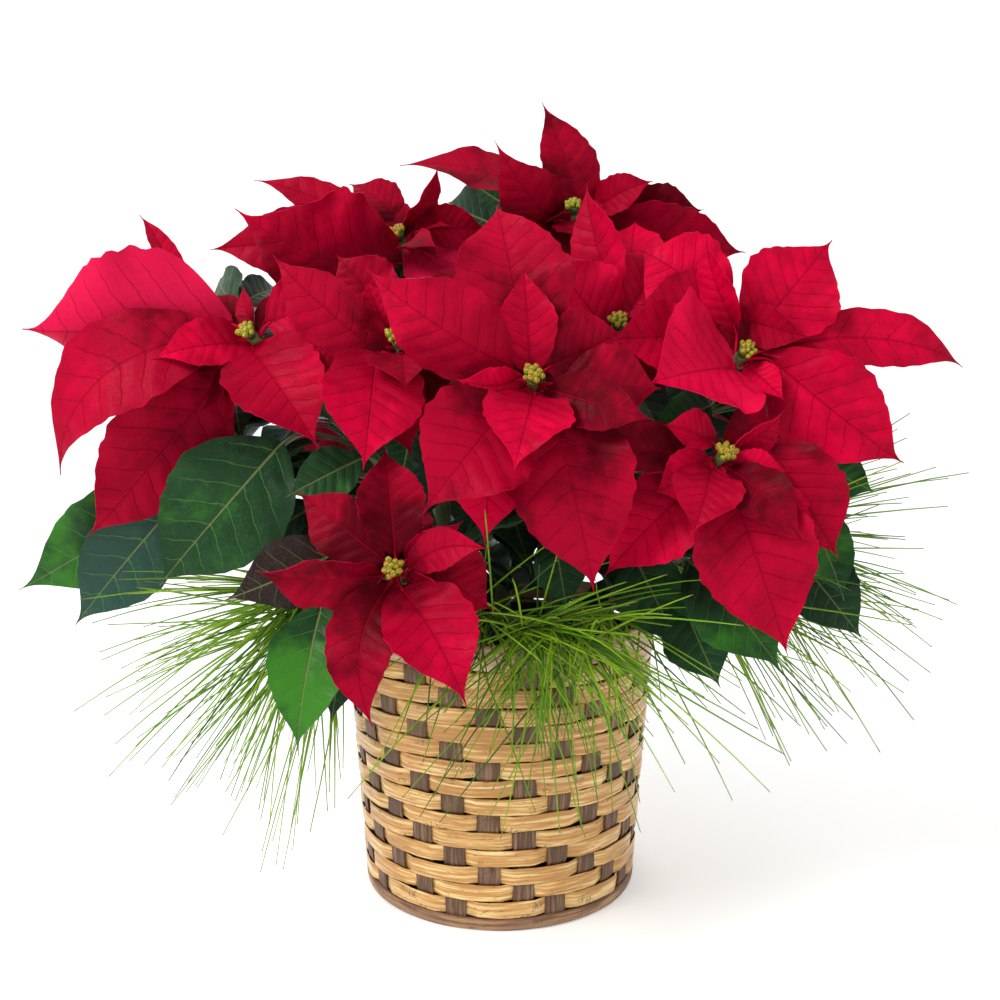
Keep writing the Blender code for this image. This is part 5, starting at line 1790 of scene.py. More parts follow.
@dataclass
class BladeMaker:
    """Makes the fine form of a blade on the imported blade's own lines."""

    along: int = 36
    across: int = 18
    thick: float = 0.0005
    vein_slant: float = 0.62
    groove: float = 0.0007
    groove_width: float = 0.0016
    wander: float = 0.04
    fold_power: float = 1.35
    wave_power: float = 2.2
    curled: float = 0.28
    under_share: float = 0.75
    stalk_taper: float = 0.62
    stalk_sides: int = 8
    stalk_steps: int = 8

    def outline(self, share: np.ndarray) -> np.ndarray:
        """The blade's share of its full width at these shares of its length."""
        power = 0.78 + 1.35 * share ** 3
        body = np.sin(np.pi * np.clip(share, 0.0, 0.9995) ** 0.86) ** power
        return np.maximum(body, 0.075 * (1.0 - share) + 0.006)

    def add(self, batch: Batch, blade: Placed, kind: BladeKind, draw: random.Random, tone_and_light: float,
            highlight_share: float) -> None:
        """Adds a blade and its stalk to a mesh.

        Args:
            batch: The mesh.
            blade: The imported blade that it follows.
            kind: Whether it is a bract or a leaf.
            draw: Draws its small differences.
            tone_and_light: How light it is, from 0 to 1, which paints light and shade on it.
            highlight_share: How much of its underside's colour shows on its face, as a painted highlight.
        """
        top, normals, leaf, edge = self.surface(blade, kind.value, draw)
        rows, columns = self.along + 1, self.across + 1
        count = rows * columns
        points = np.concatenate([top + normals * self.thick / 2.0, top - normals * self.thick / 2.0])
        values = np.zeros((2 * count, 4))
        values[:, 0], values[:, 1] = tone_and_light, highlight_share
        values[count:, 2] = self.under_share
        values[:, 3] = np.tile(edge, 2)
        batch.add(points, list(self.faces(rows, columns)), 0, np.tile(leaf, (2, 1)), values)
        self.add_stalk(batch, blade, 0 if kind is BladeKind.BRACT else 1, tone_and_light)

    def surface(self, blade: Placed, form: BladeForm, draw: random.Random) -> tuple[np.ndarray, ...]:
        """The middle surface of a blade.

        Args:
            blade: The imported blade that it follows.
            form: How it waves, quilts and curls.
            draw: Draws its small differences.

        Returns:
            Its points, its normals, its place in the vein pattern, and how near the edge each point is.
        """
        length, *axes = blade.axes()
        along, side_way, face = (np.array(axis) for axis in axes)
        share = np.linspace(0.0, 1.0, self.along + 1)[:, None]
        hand = np.linspace(-1.0, 1.0, self.across + 1)[None, :]
        bend = face * blade.bow + side_way * blade.sweep
        spine = np.array(blade.base) + (along * share + bend * (4 * share * (1 - share))) * length
        run = along + bend * (4 * (1 - 2 * share))
        run /= np.linalg.norm(run, axis=1, keepdims=True)
        lift = face - run * (run @ face)[:, None]
        lift /= np.linalg.norm(lift, axis=1, keepdims=True)
        side = np.cross(lift, run)
        turn = form.twist * draw.uniform(-1, 1) * share ** 1.5
        side, lift = side * np.cos(turn) + lift * np.sin(turn), lift * np.cos(turn) - side * np.sin(turn)
        half = blade.width / 2.0 * self.outline(share)
        off = np.abs(hand) * half
        phase = (share * length - self.vein_slant * off) / length * form.veins + draw.random()
        ends = np.cos(math.tau * (phase + 0.5)) * np.sin(np.pi * share)
        half = half * (1.0 + form.scallop * ends * np.abs(hand) ** 3)
        wandering = draw.uniform(1.0, 2.2) * share + draw.random()
        half = half * (1.0 + self.wander * np.sin(math.tau * wandering))
        waves = np.sin(math.tau * (draw.uniform(1.4, 2.4) * share + draw.random()
                                   + (hand > 0) * draw.uniform(0.2, 0.8)))
        waves = waves + 0.5 * np.sin(math.tau * (draw.uniform(3.2, 5.0) * share + draw.random()
                                                 - (hand > 0) * 0.3))
        rise = math.sin(blade.fold) * half * np.abs(hand) ** self.fold_power
        rise = rise + form.wave * blade.width * self.outline(share) * np.abs(hand) ** self.wave_power * waves
        quilt = form.quilt * blade.width * np.cos(math.tau * phase) * np.sin(np.pi * share) ** 0.5
        rise = rise + quilt * (1.0 - np.abs(hand) ** 4) * np.clip(np.abs(hand) * 4.0, 0.0, 1.0)
        rise = rise - self.groove * np.exp(-(off / self.groove_width) ** 2) * (1.0 - share)
        curl = form.curl * length * draw.uniform(-0.2, 1.0)
        rise = rise - curl * np.clip((share - 1.0 + self.curled) / self.curled, 0.0, 1.0) ** 2
        out = math.cos(blade.fold) * hand * half
        surface = spine[:, None, :] + side[:, None, :] * out[..., None] + lift[:, None, :] * rise[..., None]
        normals = np.cross(np.gradient(surface, axis=0), np.gradient(surface, axis=1))
        normals /= np.maximum(np.linalg.norm(normals, axis=2, keepdims=True), 1e-12)
        normals *= np.sign(np.sum(normals * lift[:, None, :], axis=2, keepdims=True) + 1e-9)
        leaf = np.stack([hand * half / MM, phase, np.broadcast_to(share, phase.shape)], axis=2)
        edge = np.broadcast_to(np.abs(hand), phase.shape)
        return surface.reshape(-1, 3), normals.reshape(-1, 3), leaf.reshape(-1, 3), edge.ravel()

    def faces(self, rows: int, columns: int) -> Iterator[Face]:
        """The faces of a thin closed sheet over a grid, its back's points following its front's."""
        count = rows * columns
        for row in range(rows - 1):
            for column in range(columns - 1):
                low = row * columns + column
                high = low + columns
                yield (low, high, high + 1, low + 1)
                yield (low + count, low + 1 + count, high + 1 + count, high + count)
        loop = [row * columns for row in range(rows)]
        loop += [(rows - 1) * columns + column for column in range(1, columns)]
        loop += [row * columns + columns - 1 for row in range(rows - 2, -1, -1)]
        loop += list(range(columns - 2, 0, -1))
        for here, there in zip(loop, loop[1:] + loop[:1]):
            yield (there, here, here + count, there + count)

    def add_stalk(self, batch: Batch, blade: Placed, slot: int, tone_and_light: float) -> None:
        """Adds a blade's stalk, from its root to a little way along its rib, in the finish of this slot."""
        _, along, _, _ = blade.axes()
        end = blade.centre(0.06)
        way = (end - blade.base).normalized() + along * 0.2
        path = curve_path(blade.root, blade.base - blade.root, end, way, self.stalk_steps)
        shares = (step / self.stalk_steps for step in range(self.stalk_steps + 1))
        radii = [PLANT.stalk_width / 2.0 * (1.0 - self.stalk_taper * share ** 2) for share in shares]
        batch.add_bar(path, radii, self.stalk_sides, slot, tone_and_light)


@dataclass
class Foliage:
    """The heads' bracts and the plants' leaves and stems."""

    layout: Layout
    palette: Palette
    blades: BladeMaker = field(default_factory=BladeMaker)
    small_blades: BladeMaker = field(default_factory=lambda: BladeMaker(along=20, across=10))
    stem_steps: int = 14
    stem_sides: int = 12

    def build(self) -> None:
        """Makes every head's bracts and every plant's leaves and stems."""
        for name in self.layout.heads:
            self.build_bracts(name)
        for plant in self.layout.stems:
            self.build_plant(plant)

    def build_bracts(self, name: str) -> None:
        """Makes one head's bracts on their hub."""
        node = f"{name}_bracts"
        batch = Batch(f"{name}_bloom")
        draw = random.Random(f"{SEED} fine {name}")
        for index, blade in enumerate(blade for blade in self.layout.blades if blade.node == node):
            # Each bract's tone paints light and shade on it: drawn at random and shifted by its head's
            # painted shade and light, unless listed
            tone_and_light, highlight_share = TONES_AND_HIGHLIGHTS.get((node, index), (draw.uniform(0.28, 0.84) + HEAD_SHADE_AND_LIGHT.get(name, 0.0), 0.0))
            self.blades.add(batch, blade, BladeKind.BRACT, draw, tone_and_light, highlight_share)
        # The small bracts between the others get low tones, painted shade deep in the head
        for blade in (blade for blade in self.layout.fillers if blade.node == node):
            self.small_blades.add(batch, blade, BladeKind.BRACT, draw, draw.uniform(0.02, 0.42), 0.0)
        top, end = self.layout.hubs[name]
        batch.add_bar([end, end.lerp(top, 0.5), top], [PLANT.hub_radius] * 3, self.stem_sides, 1, STEM_TONE)
        piece = batch.build([self.palette[Finish.BRACT], self.palette[Finish.STEM]])
        mount(piece, [node], "bract")

    def build_plant(self, plant: str) -> None:
        """Makes one plant's leaves and stems."""
        node = f"{plant}_plant"
        batch = Batch(f"{plant}_greenery")
        draw = random.Random(f"{SEED} fine {plant}")
        leaves = [blade for blade in self.layout.blades if blade.node == node]
        for index, blade in enumerate(leaves):
            # Each leaf's tone paints light and shade on it: drawn at random, unless listed
            tone_and_light = TONES_AND_HIGHLIGHTS.get((node, index), (draw.uniform(0.2, 0.62), 0.0))
            self.blades.add(batch, blade, BladeKind.LEAF, draw, *tone_and_light)
        # The small leaves between the others get low tones, painted shade deep in the plant
        for blade in (blade for blade in self.layout.fillers if blade.node == node):
            self.small_blades.add(batch, blade, BladeKind.LEAF, draw, draw.uniform(0.02, 0.45), 0.0)
        for stem in self.layout.stems[plant]:
            path = stem.path(self.stem_steps)
            radii = [stem.radius * (1.0 + 0.05 * math.sin(1.9 * step)) for step in range(len(path))]
            batch.add_bar(path, radii, self.stem_sides, 1, STEM_TONE)
        piece = batch.build([self.palette[Finish.LEAF], self.palette[Finish.STEM]])
        mount(piece, [node], "leaf")


@dataclass(frozen=True)
class StripSet:
    """Flat cane strips that run round the basket, or up it, and pass over and under each other."""

    name: str
    nodes: tuple[str, ...]
    slot: str
    finish: Finish
    upright: bool
    rows: int
    bottom: float
    top: float
    width: float
    thick: float
    over: float
    under: float
    unevenness: float


STRIP_SETS = (
    StripSet("weavers", ("basket_wall",), "weaver", Finish.WEAVER, False, BASKET.rows, BASKET.foot_height,
             BASKET.wall_top, 0.0118, 0.0010, 0.0004, 0.0022, 1.0),
    StripSet("stakes", ("basket_wall",), "stake", Finish.STAKE, True, BASKET.rows, BASKET.foot_height - 0.004,
             BASKET.wall_top + 0.006, 0.0145, 0.0011, -0.0006, 0.0020, 1.0),
    StripSet("rim_band", ("basket_rim",), "rim", Finish.RIM, False, 1, BASKET.wall_top, BASKET.rim_top,
             0.0175, 0.0016, 0.0012, -0.0012, 0.5),
    StripSet("inner_rim_band", ("basket_rim",), "rim", Finish.RIM, False, 1, BASKET.wall_top + 0.001,
             BASKET.rim_top - 0.001, 0.0160, 0.0014, -0.0036, 0.0036, 0.5),
    StripSet("foot_hoop", ("basket_foot",), "binding", Finish.BINDING, False, 1, 0.0, BASKET.foot_height,
             0.0088, 0.0034, 0.0006, -0.0006, 0.3),
)


class WeaveTree:
    """The geometry tree that sweeps a set of strips, over and under by a 2/1 twill."""

    round_steps: int = 6
    profile: int = 13
    seam: float = 0.00001

    def __init__(self, upright: bool) -> None:
        """Builds the tree for strips that run round the basket, or up it."""
        self.upright = upright
        number = "NodeSocketFloat"
        inputs = {name: (number, 0.0) for name in (
            "Bottom", "Top", "Row Bottom", "Row Pitch", "Foot Radius", "Top Radius", "Rim Height",
            "Strip Width", "Strip Thickness", "Over", "Under", "Unevenness", "First Stake", "First Row")}
        inputs |= {"Rows": ("NodeSocketInt", 1), "Stakes": ("NodeSocketInt", 1),
                   "Seed": ("NodeSocketInt", SEED)}
        inputs["Finish"] = ("NodeSocketMaterial", None)
        name = "Upright strips" if upright else "Round strips"
        self.maker = GroupMaker(name, "GeometryNodeTree", inputs, {"Geometry": "NodeSocketGeometry"})
        self.build()

    def build(self) -> None:
        """Adds the tree's nodes: a grid for each strip, bent into its place."""
        maker = self.maker
        rows, stakes = maker.given("Rows"), maker.given("Stakes")
        lanes, lengths = (stakes, rows) if self.upright else (rows, stakes)
        steps = lengths * self.round_steps + 1
        grid = maker.add("GeometryNodeMeshGrid", {"Vertices X": steps, "Vertices Y": self.profile})
        index = maker.wire("GeometryNodeInputIndex")
        column = (index / self.profile).math("FLOOR")
        sweep = column / (steps - 1)
        loop = (index - column * self.profile) / (self.profile - 1.0)
        mesh = maker.store(maker.store(grid.outputs["Mesh"], "sweep", sweep), "loop", loop)
        points = maker.add("GeometryNodePoints", {"Count": lanes})
        strips = maker.add("GeometryNodeInstanceOnPoints", {"Points": points.outputs[0], "Instance": mesh})
        lane = maker.wire("GeometryNodeInputIndex")
        named = maker.store(strips.outputs[0], "lane", lane, domain="INSTANCE")
        loose = maker.add("GeometryNodeRealizeInstances", {"Geometry": named})
        place, fibre = self.place()
        bent = maker.add("GeometryNodeSetPosition", {"Geometry": loose.outputs[0], "Position": place})
        traced = maker.store(bent.outputs[0], "fibre", fibre, "FLOAT_VECTOR")
        merged = maker.add("GeometryNodeMergeByDistance", {"Geometry": traced, "Distance": self.seam})
        maker.finish(merged.outputs[0])

    def read(self, name: str) -> Wire:
        """A number that the geometry holds."""
        return self.maker.wire("GeometryNodeInputNamedAttribute", {"Name": name}, data_type="FLOAT")

    def noise(self, place: bpy.types.NodeSocket, scale: float) -> Wire:
        """A noise from about -0.5 to 0.5 at a place."""
        found = self.maker.wire("ShaderNodeTexNoise", {"Vector": place, "Scale": scale, "Detail": 2.0}, "Fac")
        return found - 0.5

    def place(self) -> tuple[bpy.types.NodeSocket, bpy.types.NodeSocket]:
        """Where each point of the strips goes.

        Returns:
            The point's place, and its place along the fibres in mm.
        """
        maker = self.maker
        sweep, loop, lane = self.read("sweep"), self.read("loop"), self.read("lane")
        given = maker.given
        turn = loop * math.tau
        flat, tall = turn.math("COSINE"), turn.math("SINE")
        thick = flat.math("SIGN") * flat.math("ABSOLUTE").math("POWER", 0.6)
        wide = tall.math("SIGN") * tall.math("ABSOLUTE").math("POWER", 0.75)
        pitch = (given("Top") - given("Bottom")) / given("Rows")
        rise = given("Bottom") + sweep * (given("Top") - given("Bottom"))
        far = (rise - given("Row Bottom")) / given("Row Pitch") if self.upright else sweep * given("Stakes")
        cell = (far + lane - given("First Row") + 300.0 + 1.0).math("MODULO", 3.0)
        first_edge, last_edge = cell.ramp(0.80, 1.18), cell.ramp(1.82, 2.20, 1.0, 0.0)
        hidden = first_edge * last_edge
        seed = given("Seed") * 0.37
        drift = maker.add("ShaderNodeCombineXYZ", {
            0: far.math("PINGPONG", BASKET.stakes / 2.0) * 0.35, 1: lane * 3.1, 2: seed})
        shake = self.noise(drift.outputs[0], 1.0) * given("Unevenness")
        fine = self.noise(drift.outputs[0], 3.0) * given("Unevenness")
        half = given("Strip Width") * 0.5 * (fine * 0.36 + 0.97)
        lean = self.noise(drift.outputs[0], 0.6) * given("Unevenness") * 0.0016 * wide
        if self.upright:
            height = rise
            out = (given("Over") + given("Under")) * hidden - given("Under")
            around = given("First Stake") + lane * math.tau / given("Stakes")
            around = around + wide * half / given("Foot Radius") + shake * 0.02
        else:
            height = given("Bottom") + (lane + 0.5) * pitch + wide * half + shake * 0.0044
            out = given("Over") - (given("Over") + given("Under")) * hidden
            around = given("First Stake") + (far - 0.5) * math.tau / given("Stakes")
        slope = (given("Top Radius") - given("Foot Radius")) / given("Rim Height")
        radius = given("Foot Radius") + slope * height + out + thick * given("Strip Thickness") * 0.5 + lean
        radius = radius - given("Strip Thickness") * 0.5
        place = maker.add("ShaderNodeCombineXYZ", {
            0: radius * around.math("COSINE"), 1: radius * around.math("SINE"), 2: height})
        run = height * 1000.0 if self.upright else far.math("PINGPONG", BASKET.stakes / 2.0) * 23.0
        fibre = maker.add("ShaderNodeCombineXYZ", {
            0: run, 1: wide * half * 1000.0, 2: lane * 7.3 + thick * 0.4})
        return place.outputs[0], fibre.outputs[0]


@dataclass
class Basket:
    """The woven basket with its pot and soil."""

    palette: Palette
    strips: tuple[StripSet, ...] = STRIP_SETS
    crumbs: int = 900
    crumb_size: float = 0.0022
    soil_rings: int = 26
    soil_spokes: int = 72
    soil_waves: int = 9
    soil_relief: float = 0.0005
    soil_drop: float = 0.0006
    soil_taper: float = 0.87

    def build(self) -> None:
        """Makes the strips and the soil, and dresses the floor and pot that stay as packed."""
        trees = {upright: WeaveTree(upright).maker.tree for upright in (False, True)}
        for strips in self.strips:
            self.build_strips(strips, trees[strips.upright])
        self.dress("basket_floor", Finish.STAKE)
        self.dress("grow_pot", Finish.POT)
        self.build_soil()

    def build_strips(self, strips: StripSet, tree: bpy.types.NodeTree) -> None:
        """Makes one set of strips.

        Args:
            strips: The set.
            tree: The geometry tree that sweeps them.
        """
        values = {
            "Bottom": strips.bottom, "Top": strips.top, "Row Bottom": BASKET.foot_height,
            "Row Pitch": (BASKET.wall_top - BASKET.foot_height) / BASKET.rows,
            "Foot Radius": BASKET.foot_radius, "Top Radius": BASKET.top_radius,
            "Rim Height": BASKET.rim_top, "Strip Width": strips.width, "Strip Thickness": strips.thick,
            "Over": strips.over, "Under": strips.under,
            "Unevenness": strips.unevenness, "First Stake": BASKET.first_stake,
            "First Row": float(BASKET.first_row), "Rows": strips.rows, "Stakes": BASKET.stakes,
            "Seed": SEED % 97, "Finish": self.palette[strips.finish]}
        mesh = settled(strips.name, tree, bpy.data.meshes.new("Strip start"), values)
        mesh.shade_smooth()
        mount(object_of(strips.name, mesh), strips.nodes, strips.slot)

    def dress(self, node: str, finish: Finish) -> None:
        """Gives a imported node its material."""
        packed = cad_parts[node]
        packed.data.materials.clear()
        packed.data.materials.append(self.palette[finish])

    def build_soil(self) -> None:
        """Makes the soil's uneven top, with crumbs strewn on it."""
        low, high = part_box("soil")
        radius = (high.x - low.x) / 2.0
        draw = random.Random(f"{SEED} soil")
        shifts = [(draw.uniform(60, 240), draw.uniform(0, math.tau), draw.uniform(-1, 1), draw.uniform(-1, 1))
                  for _ in range(self.soil_waves)]
        points, faces = [(0.0, 0.0, high.z)], []
        for ring in range(1, self.soil_rings + 1):
            for spoke in range(self.soil_spokes):
                turn = math.tau * spoke / self.soil_spokes
                x, y = (radius * ring / self.soil_rings * part for part in (math.cos(turn), math.sin(turn)))
                bump = sum(math.sin(scale * (x * p + y * q) + start) for scale, start, p, q in shifts)
                points.append((x, y, high.z + self.soil_relief * bump - self.soil_drop))
        for ring in range(self.soil_rings):
            for spoke in range(self.soil_spokes):
                after = (spoke + 1) % self.soil_spokes
                outer = 1 + ring * self.soil_spokes
                if ring == 0:
                    faces.append((0, outer + spoke, outer + after))
                    continue
                inner = outer - self.soil_spokes
                faces.append((inner + spoke, outer + spoke, outer + after, inner + after))
        bottom = len(points)
        points += [(math.cos(math.tau * spoke / self.soil_spokes) * radius * self.soil_taper,
                    math.sin(math.tau * spoke / self.soil_spokes) * radius * self.soil_taper, low.z)
                   for spoke in range(self.soil_spokes)]
        last = bottom - self.soil_spokes
        for spoke in range(self.soil_spokes):
            after = (spoke + 1) % self.soil_spokes
            faces.append((last + spoke, bottom + spoke, bottom + after, last + after))
        faces.append(tuple(reversed(range(bottom, bottom + self.soil_spokes))))
        start = bpy.data.meshes.new("Soil start")
        start.from_pydata(points, [], faces)
        values = {"Crumbs": self.crumbs / (math.pi * radius ** 2), "Crumb Size": self.crumb_size,
                  "Seed": SEED, "Finish": self.palette[Finish.SOIL]}
        mesh = settled("potting_soil", self.crumb_tree(), start, values)
        mesh.shade_smooth()
        mount(object_of("potting_soil", mesh), ["soil"], "soil")

    def crumb_tree(self) -> bpy.types.NodeTree:
        """The geometry tree that strews crumbs over the soil's top."""
        maker = GroupMaker("Soil crumbs", "GeometryNodeTree", {
            "Geometry": ("NodeSocketGeometry", None), "Crumbs": ("NodeSocketFloat", 1.0),
            "Crumb Size": ("NodeSocketFloat", 0.002), "Seed": ("NodeSocketInt", SEED),
            "Finish": ("NodeSocketMaterial", None)}, {"Geometry": "NodeSocketGeometry"})
        normal = maker.add("GeometryNodeInputNormal")
        facing_up = maker.wire("ShaderNodeSeparateXYZ", {0: normal.outputs[0]}, 2).math("GREATER_THAN", 0.6)
        strewn = maker.add("GeometryNodeDistributePointsOnFaces", {
            "Mesh": maker.given("Geometry"), "Selection": facing_up, "Density": maker.given("Crumbs"),
            "Seed": maker.given("Seed")})
        crumb = maker.add("GeometryNodeMeshIcoSphere", {
            "Radius": maker.given("Crumb Size"), "Subdivisions": 2})
        size = maker.drawn(0.25, 1.0)
        spin = maker.add("FunctionNodeRandomValue", {
            0: (0, 0, 0), 1: (6.28, 6.28, 6.28), "Seed": maker.given("Seed")}, data_type="FLOAT_VECTOR")
        flatter = maker.add("ShaderNodeCombineXYZ", {0: size, 1: size * 0.8, 2: size * 0.6})
        placed = maker.add("GeometryNodeInstanceOnPoints", {
            "Points": strewn.outputs["Points"], "Instance": crumb.outputs[0], "Rotation": spin.outputs[0],
            "Scale": flatter.outputs[0]})
        real = maker.add("GeometryNodeRealizeInstances", {0: placed.outputs[0]})
        rough = maker.add("ShaderNodeTexNoise", {"Scale": 700.0, "Detail": 2.0})
        offset = maker.add("ShaderNodeVectorMath", {0: rough.outputs["Color"], 1: (0.5, 0.5, 0.5)},
                           operation="SUBTRACT")
        small = maker.add("ShaderNodeVectorMath", {0: offset.outputs[0], "Scale": 0.0016}, operation="SCALE")
        lumpy = maker.add("GeometryNodeSetPosition", {
            "Geometry": real.outputs[0], "Offset": small.outputs[0]})
        maker.finish(lumpy.outputs[0], maker.given("Geometry"))
        return maker.tree


@dataclass
class Flowers:
    """The clusters of small yellow-green flowers at the middles of the heads."""

    layout: Layout
    palette: Palette
    buds: int = 11
    bud_radius: float = 0.0019
    spread: float = 0.0054

    def build(self) -> None:
        """Makes every head's cluster."""
        tree = self.tree()
        for index, (name, (_, centre, axis)) in enumerate(self.layout.heads.items()):
            values = {"Buds": self.buds, "Spread": self.spread, "Bud Radius": self.bud_radius,
                      "Height": PLANT.cluster_height, "Depth": PLANT.flower_clearance,
                      "Seed": SEED + index, "Finish": self.palette[Finish.FLOWER]}
            mesh = settled(f"{name}_cyathia", tree, bpy.data.meshes.new("Flower start"), values)
            turn = Vector((0, 0, 1)).rotation_difference(axis)
            mesh.transform(Matrix.Translation(centre) @ turn.to_matrix().to_4x4())
            mesh.shade_smooth()
            mount(object_of(f"{name}_cyathia", mesh), [f"{name}_flowers"], "flower")

    def tree(self) -> bpy.types.NodeTree:
        """The geometry tree of one cluster, whose axis is +Z: buds on a dome."""
        number = "NodeSocketFloat"
        maker = GroupMaker("Flower cluster", "GeometryNodeTree", {
            "Buds": ("NodeSocketInt", 13), "Spread": (number, 0.005), "Bud Radius": (number, 0.002),
            "Height": (number, 0.005), "Depth": (number, 0.006), "Seed": ("NodeSocketInt", SEED),
            "Finish": ("NodeSocketMaterial", None)}, {"Geometry": "NodeSocketGeometry"})
        given = maker.given
        index = maker.wire("GeometryNodeInputIndex")
        share = ((index + 0.5) / given("Buds")).math("SQRT")
        turn = index * 2.39996 + given("Seed") * 1.7
        reach = share * given("Spread")
        rise = given("Height") * 0.62 * (share * share * -0.75 + 1.0)
        place = maker.add("ShaderNodeCombineXYZ", {
            0: reach * turn.math("COSINE"), 1: reach * turn.math("SINE"), 2: rise})
        points = maker.add("GeometryNodePoints", {"Count": given("Buds"), "Position": place.outputs[0]})
        bud = self.bud(maker)
        way = maker.add("ShaderNodeCombineXYZ", {
            0: reach * turn.math("COSINE") * 120.0, 1: reach * turn.math("SINE") * 120.0, 2: 1.0})
        aim = maker.add("FunctionNodeAlignRotationToVector", {"Vector": way.outputs[0]}, axis="Z")
        placed = maker.add("GeometryNodeInstanceOnPoints", {
            "Points": points.outputs[0], "Instance": bud, "Rotation": aim.outputs[0],
            "Scale": maker.drawn(0.78, 1.12)})
        real = maker.add("GeometryNodeRealizeInstances", {0: placed.outputs[0]})
        cushion = maker.add("GeometryNodeMeshCone", {
            "Vertices": 20, "Radius Top": given("Spread") * 0.95, "Radius Bottom": given("Spread") * 0.45,
            "Depth": given("Depth")})
        lowered = maker.add("GeometryNodeTransform", {
            "Geometry": cushion.outputs[0],
            "Translation": maker.add("ShaderNodeCombineXYZ", {2: given("Depth") * -0.92}).outputs[0]})
        maker.finish(real.outputs[0], lowered.outputs[0])
        return maker.tree

    def bud(self, maker: GroupMaker) -> bpy.types.NodeSocket:
        """One bud: an upright egg with a dimpled top and a ribbed side.

        Args:
            maker: The maker of the cluster's tree.

        Returns:
            Its geometry.
        """
        radius = maker.given("Bud Radius")
        ball = maker.add("GeometryNodeMeshUVSphere", {"Segments": 14, "Rings": 10, "Radius": radius})
        here = maker.add("ShaderNodeSeparateXYZ", {0: maker.add("GeometryNodeInputPosition").outputs[0]})
        x, y, z = (Wire(maker.tree, output) for output in here.outputs)
        up = (z / radius) * 0.5 + 0.5
        turn = y.math("ARCTAN2", x)
        ribs = (turn * 5.0).math("COSINE") * 0.07 + 1.0
        pinch = up.ramp(0.70, 1.0, 1.0, 0.72)
        out = ribs * pinch
        far = x.math("MULTIPLY", x) + y.math("MULTIPLY", y)
        dimple = (far / (radius * radius)).ramp(0.0, 0.18, 0.55, 0.0) * up.math("GREATER_THAN", 0.7)
        place = maker.add("ShaderNodeCombineXYZ", {0: x * out, 1: y * out, 2: (z * 1.45) - dimple * radius})
        shaped = maker.add("GeometryNodeSetPosition", {
            "Geometry": ball.outputs[0], "Position": place.outputs[0]})
        mark = maker.add("ShaderNodeCombineXYZ", {0: up, 1: maker.drawn(0.0, 1.0)})
        return maker.store(shaped.outputs[0], "bud", mark.outputs[0], "FLOAT_VECTOR")


@dataclass(frozen=True)
class Fan:
    """How a spray's fine needles spread.

    aim is the way they point, spread how far from it they do in degrees, and length their longest in
    mm. Most are shorter, by the power that evens asks for. shoots holds the twig's side shoots in mm.
    """

    needles: int
    aim: Triple
    spread: float
    length: float
    evens: float
    shoots: tuple[Triple, ...]


FANS = {
    "left": Fan(180, (-0.74, -0.22, -0.56), 58, 154, 0.7, ((-12, -6, -22), (-24, -14, 6))),
    "front": Fan(250, (0.26, -0.55, -0.36), 84, 136, 2.6, (
        (-62, 18, -4), (-40, 4, 4), (52, 10, 2), (74, 34, 8), (30, -12, -6), (-20, -14, 0))),
    "right": Fan(170, (0.94, -0.14, -0.16), 54, 150, 0.7, ((16, -8, -26), (24, -6, 10))),
    "back": Fan(70, (0.40, 0.85, 0.05), 60, 118, 1.0, ((-30, 20, 4), (34, 14, 0))),
}


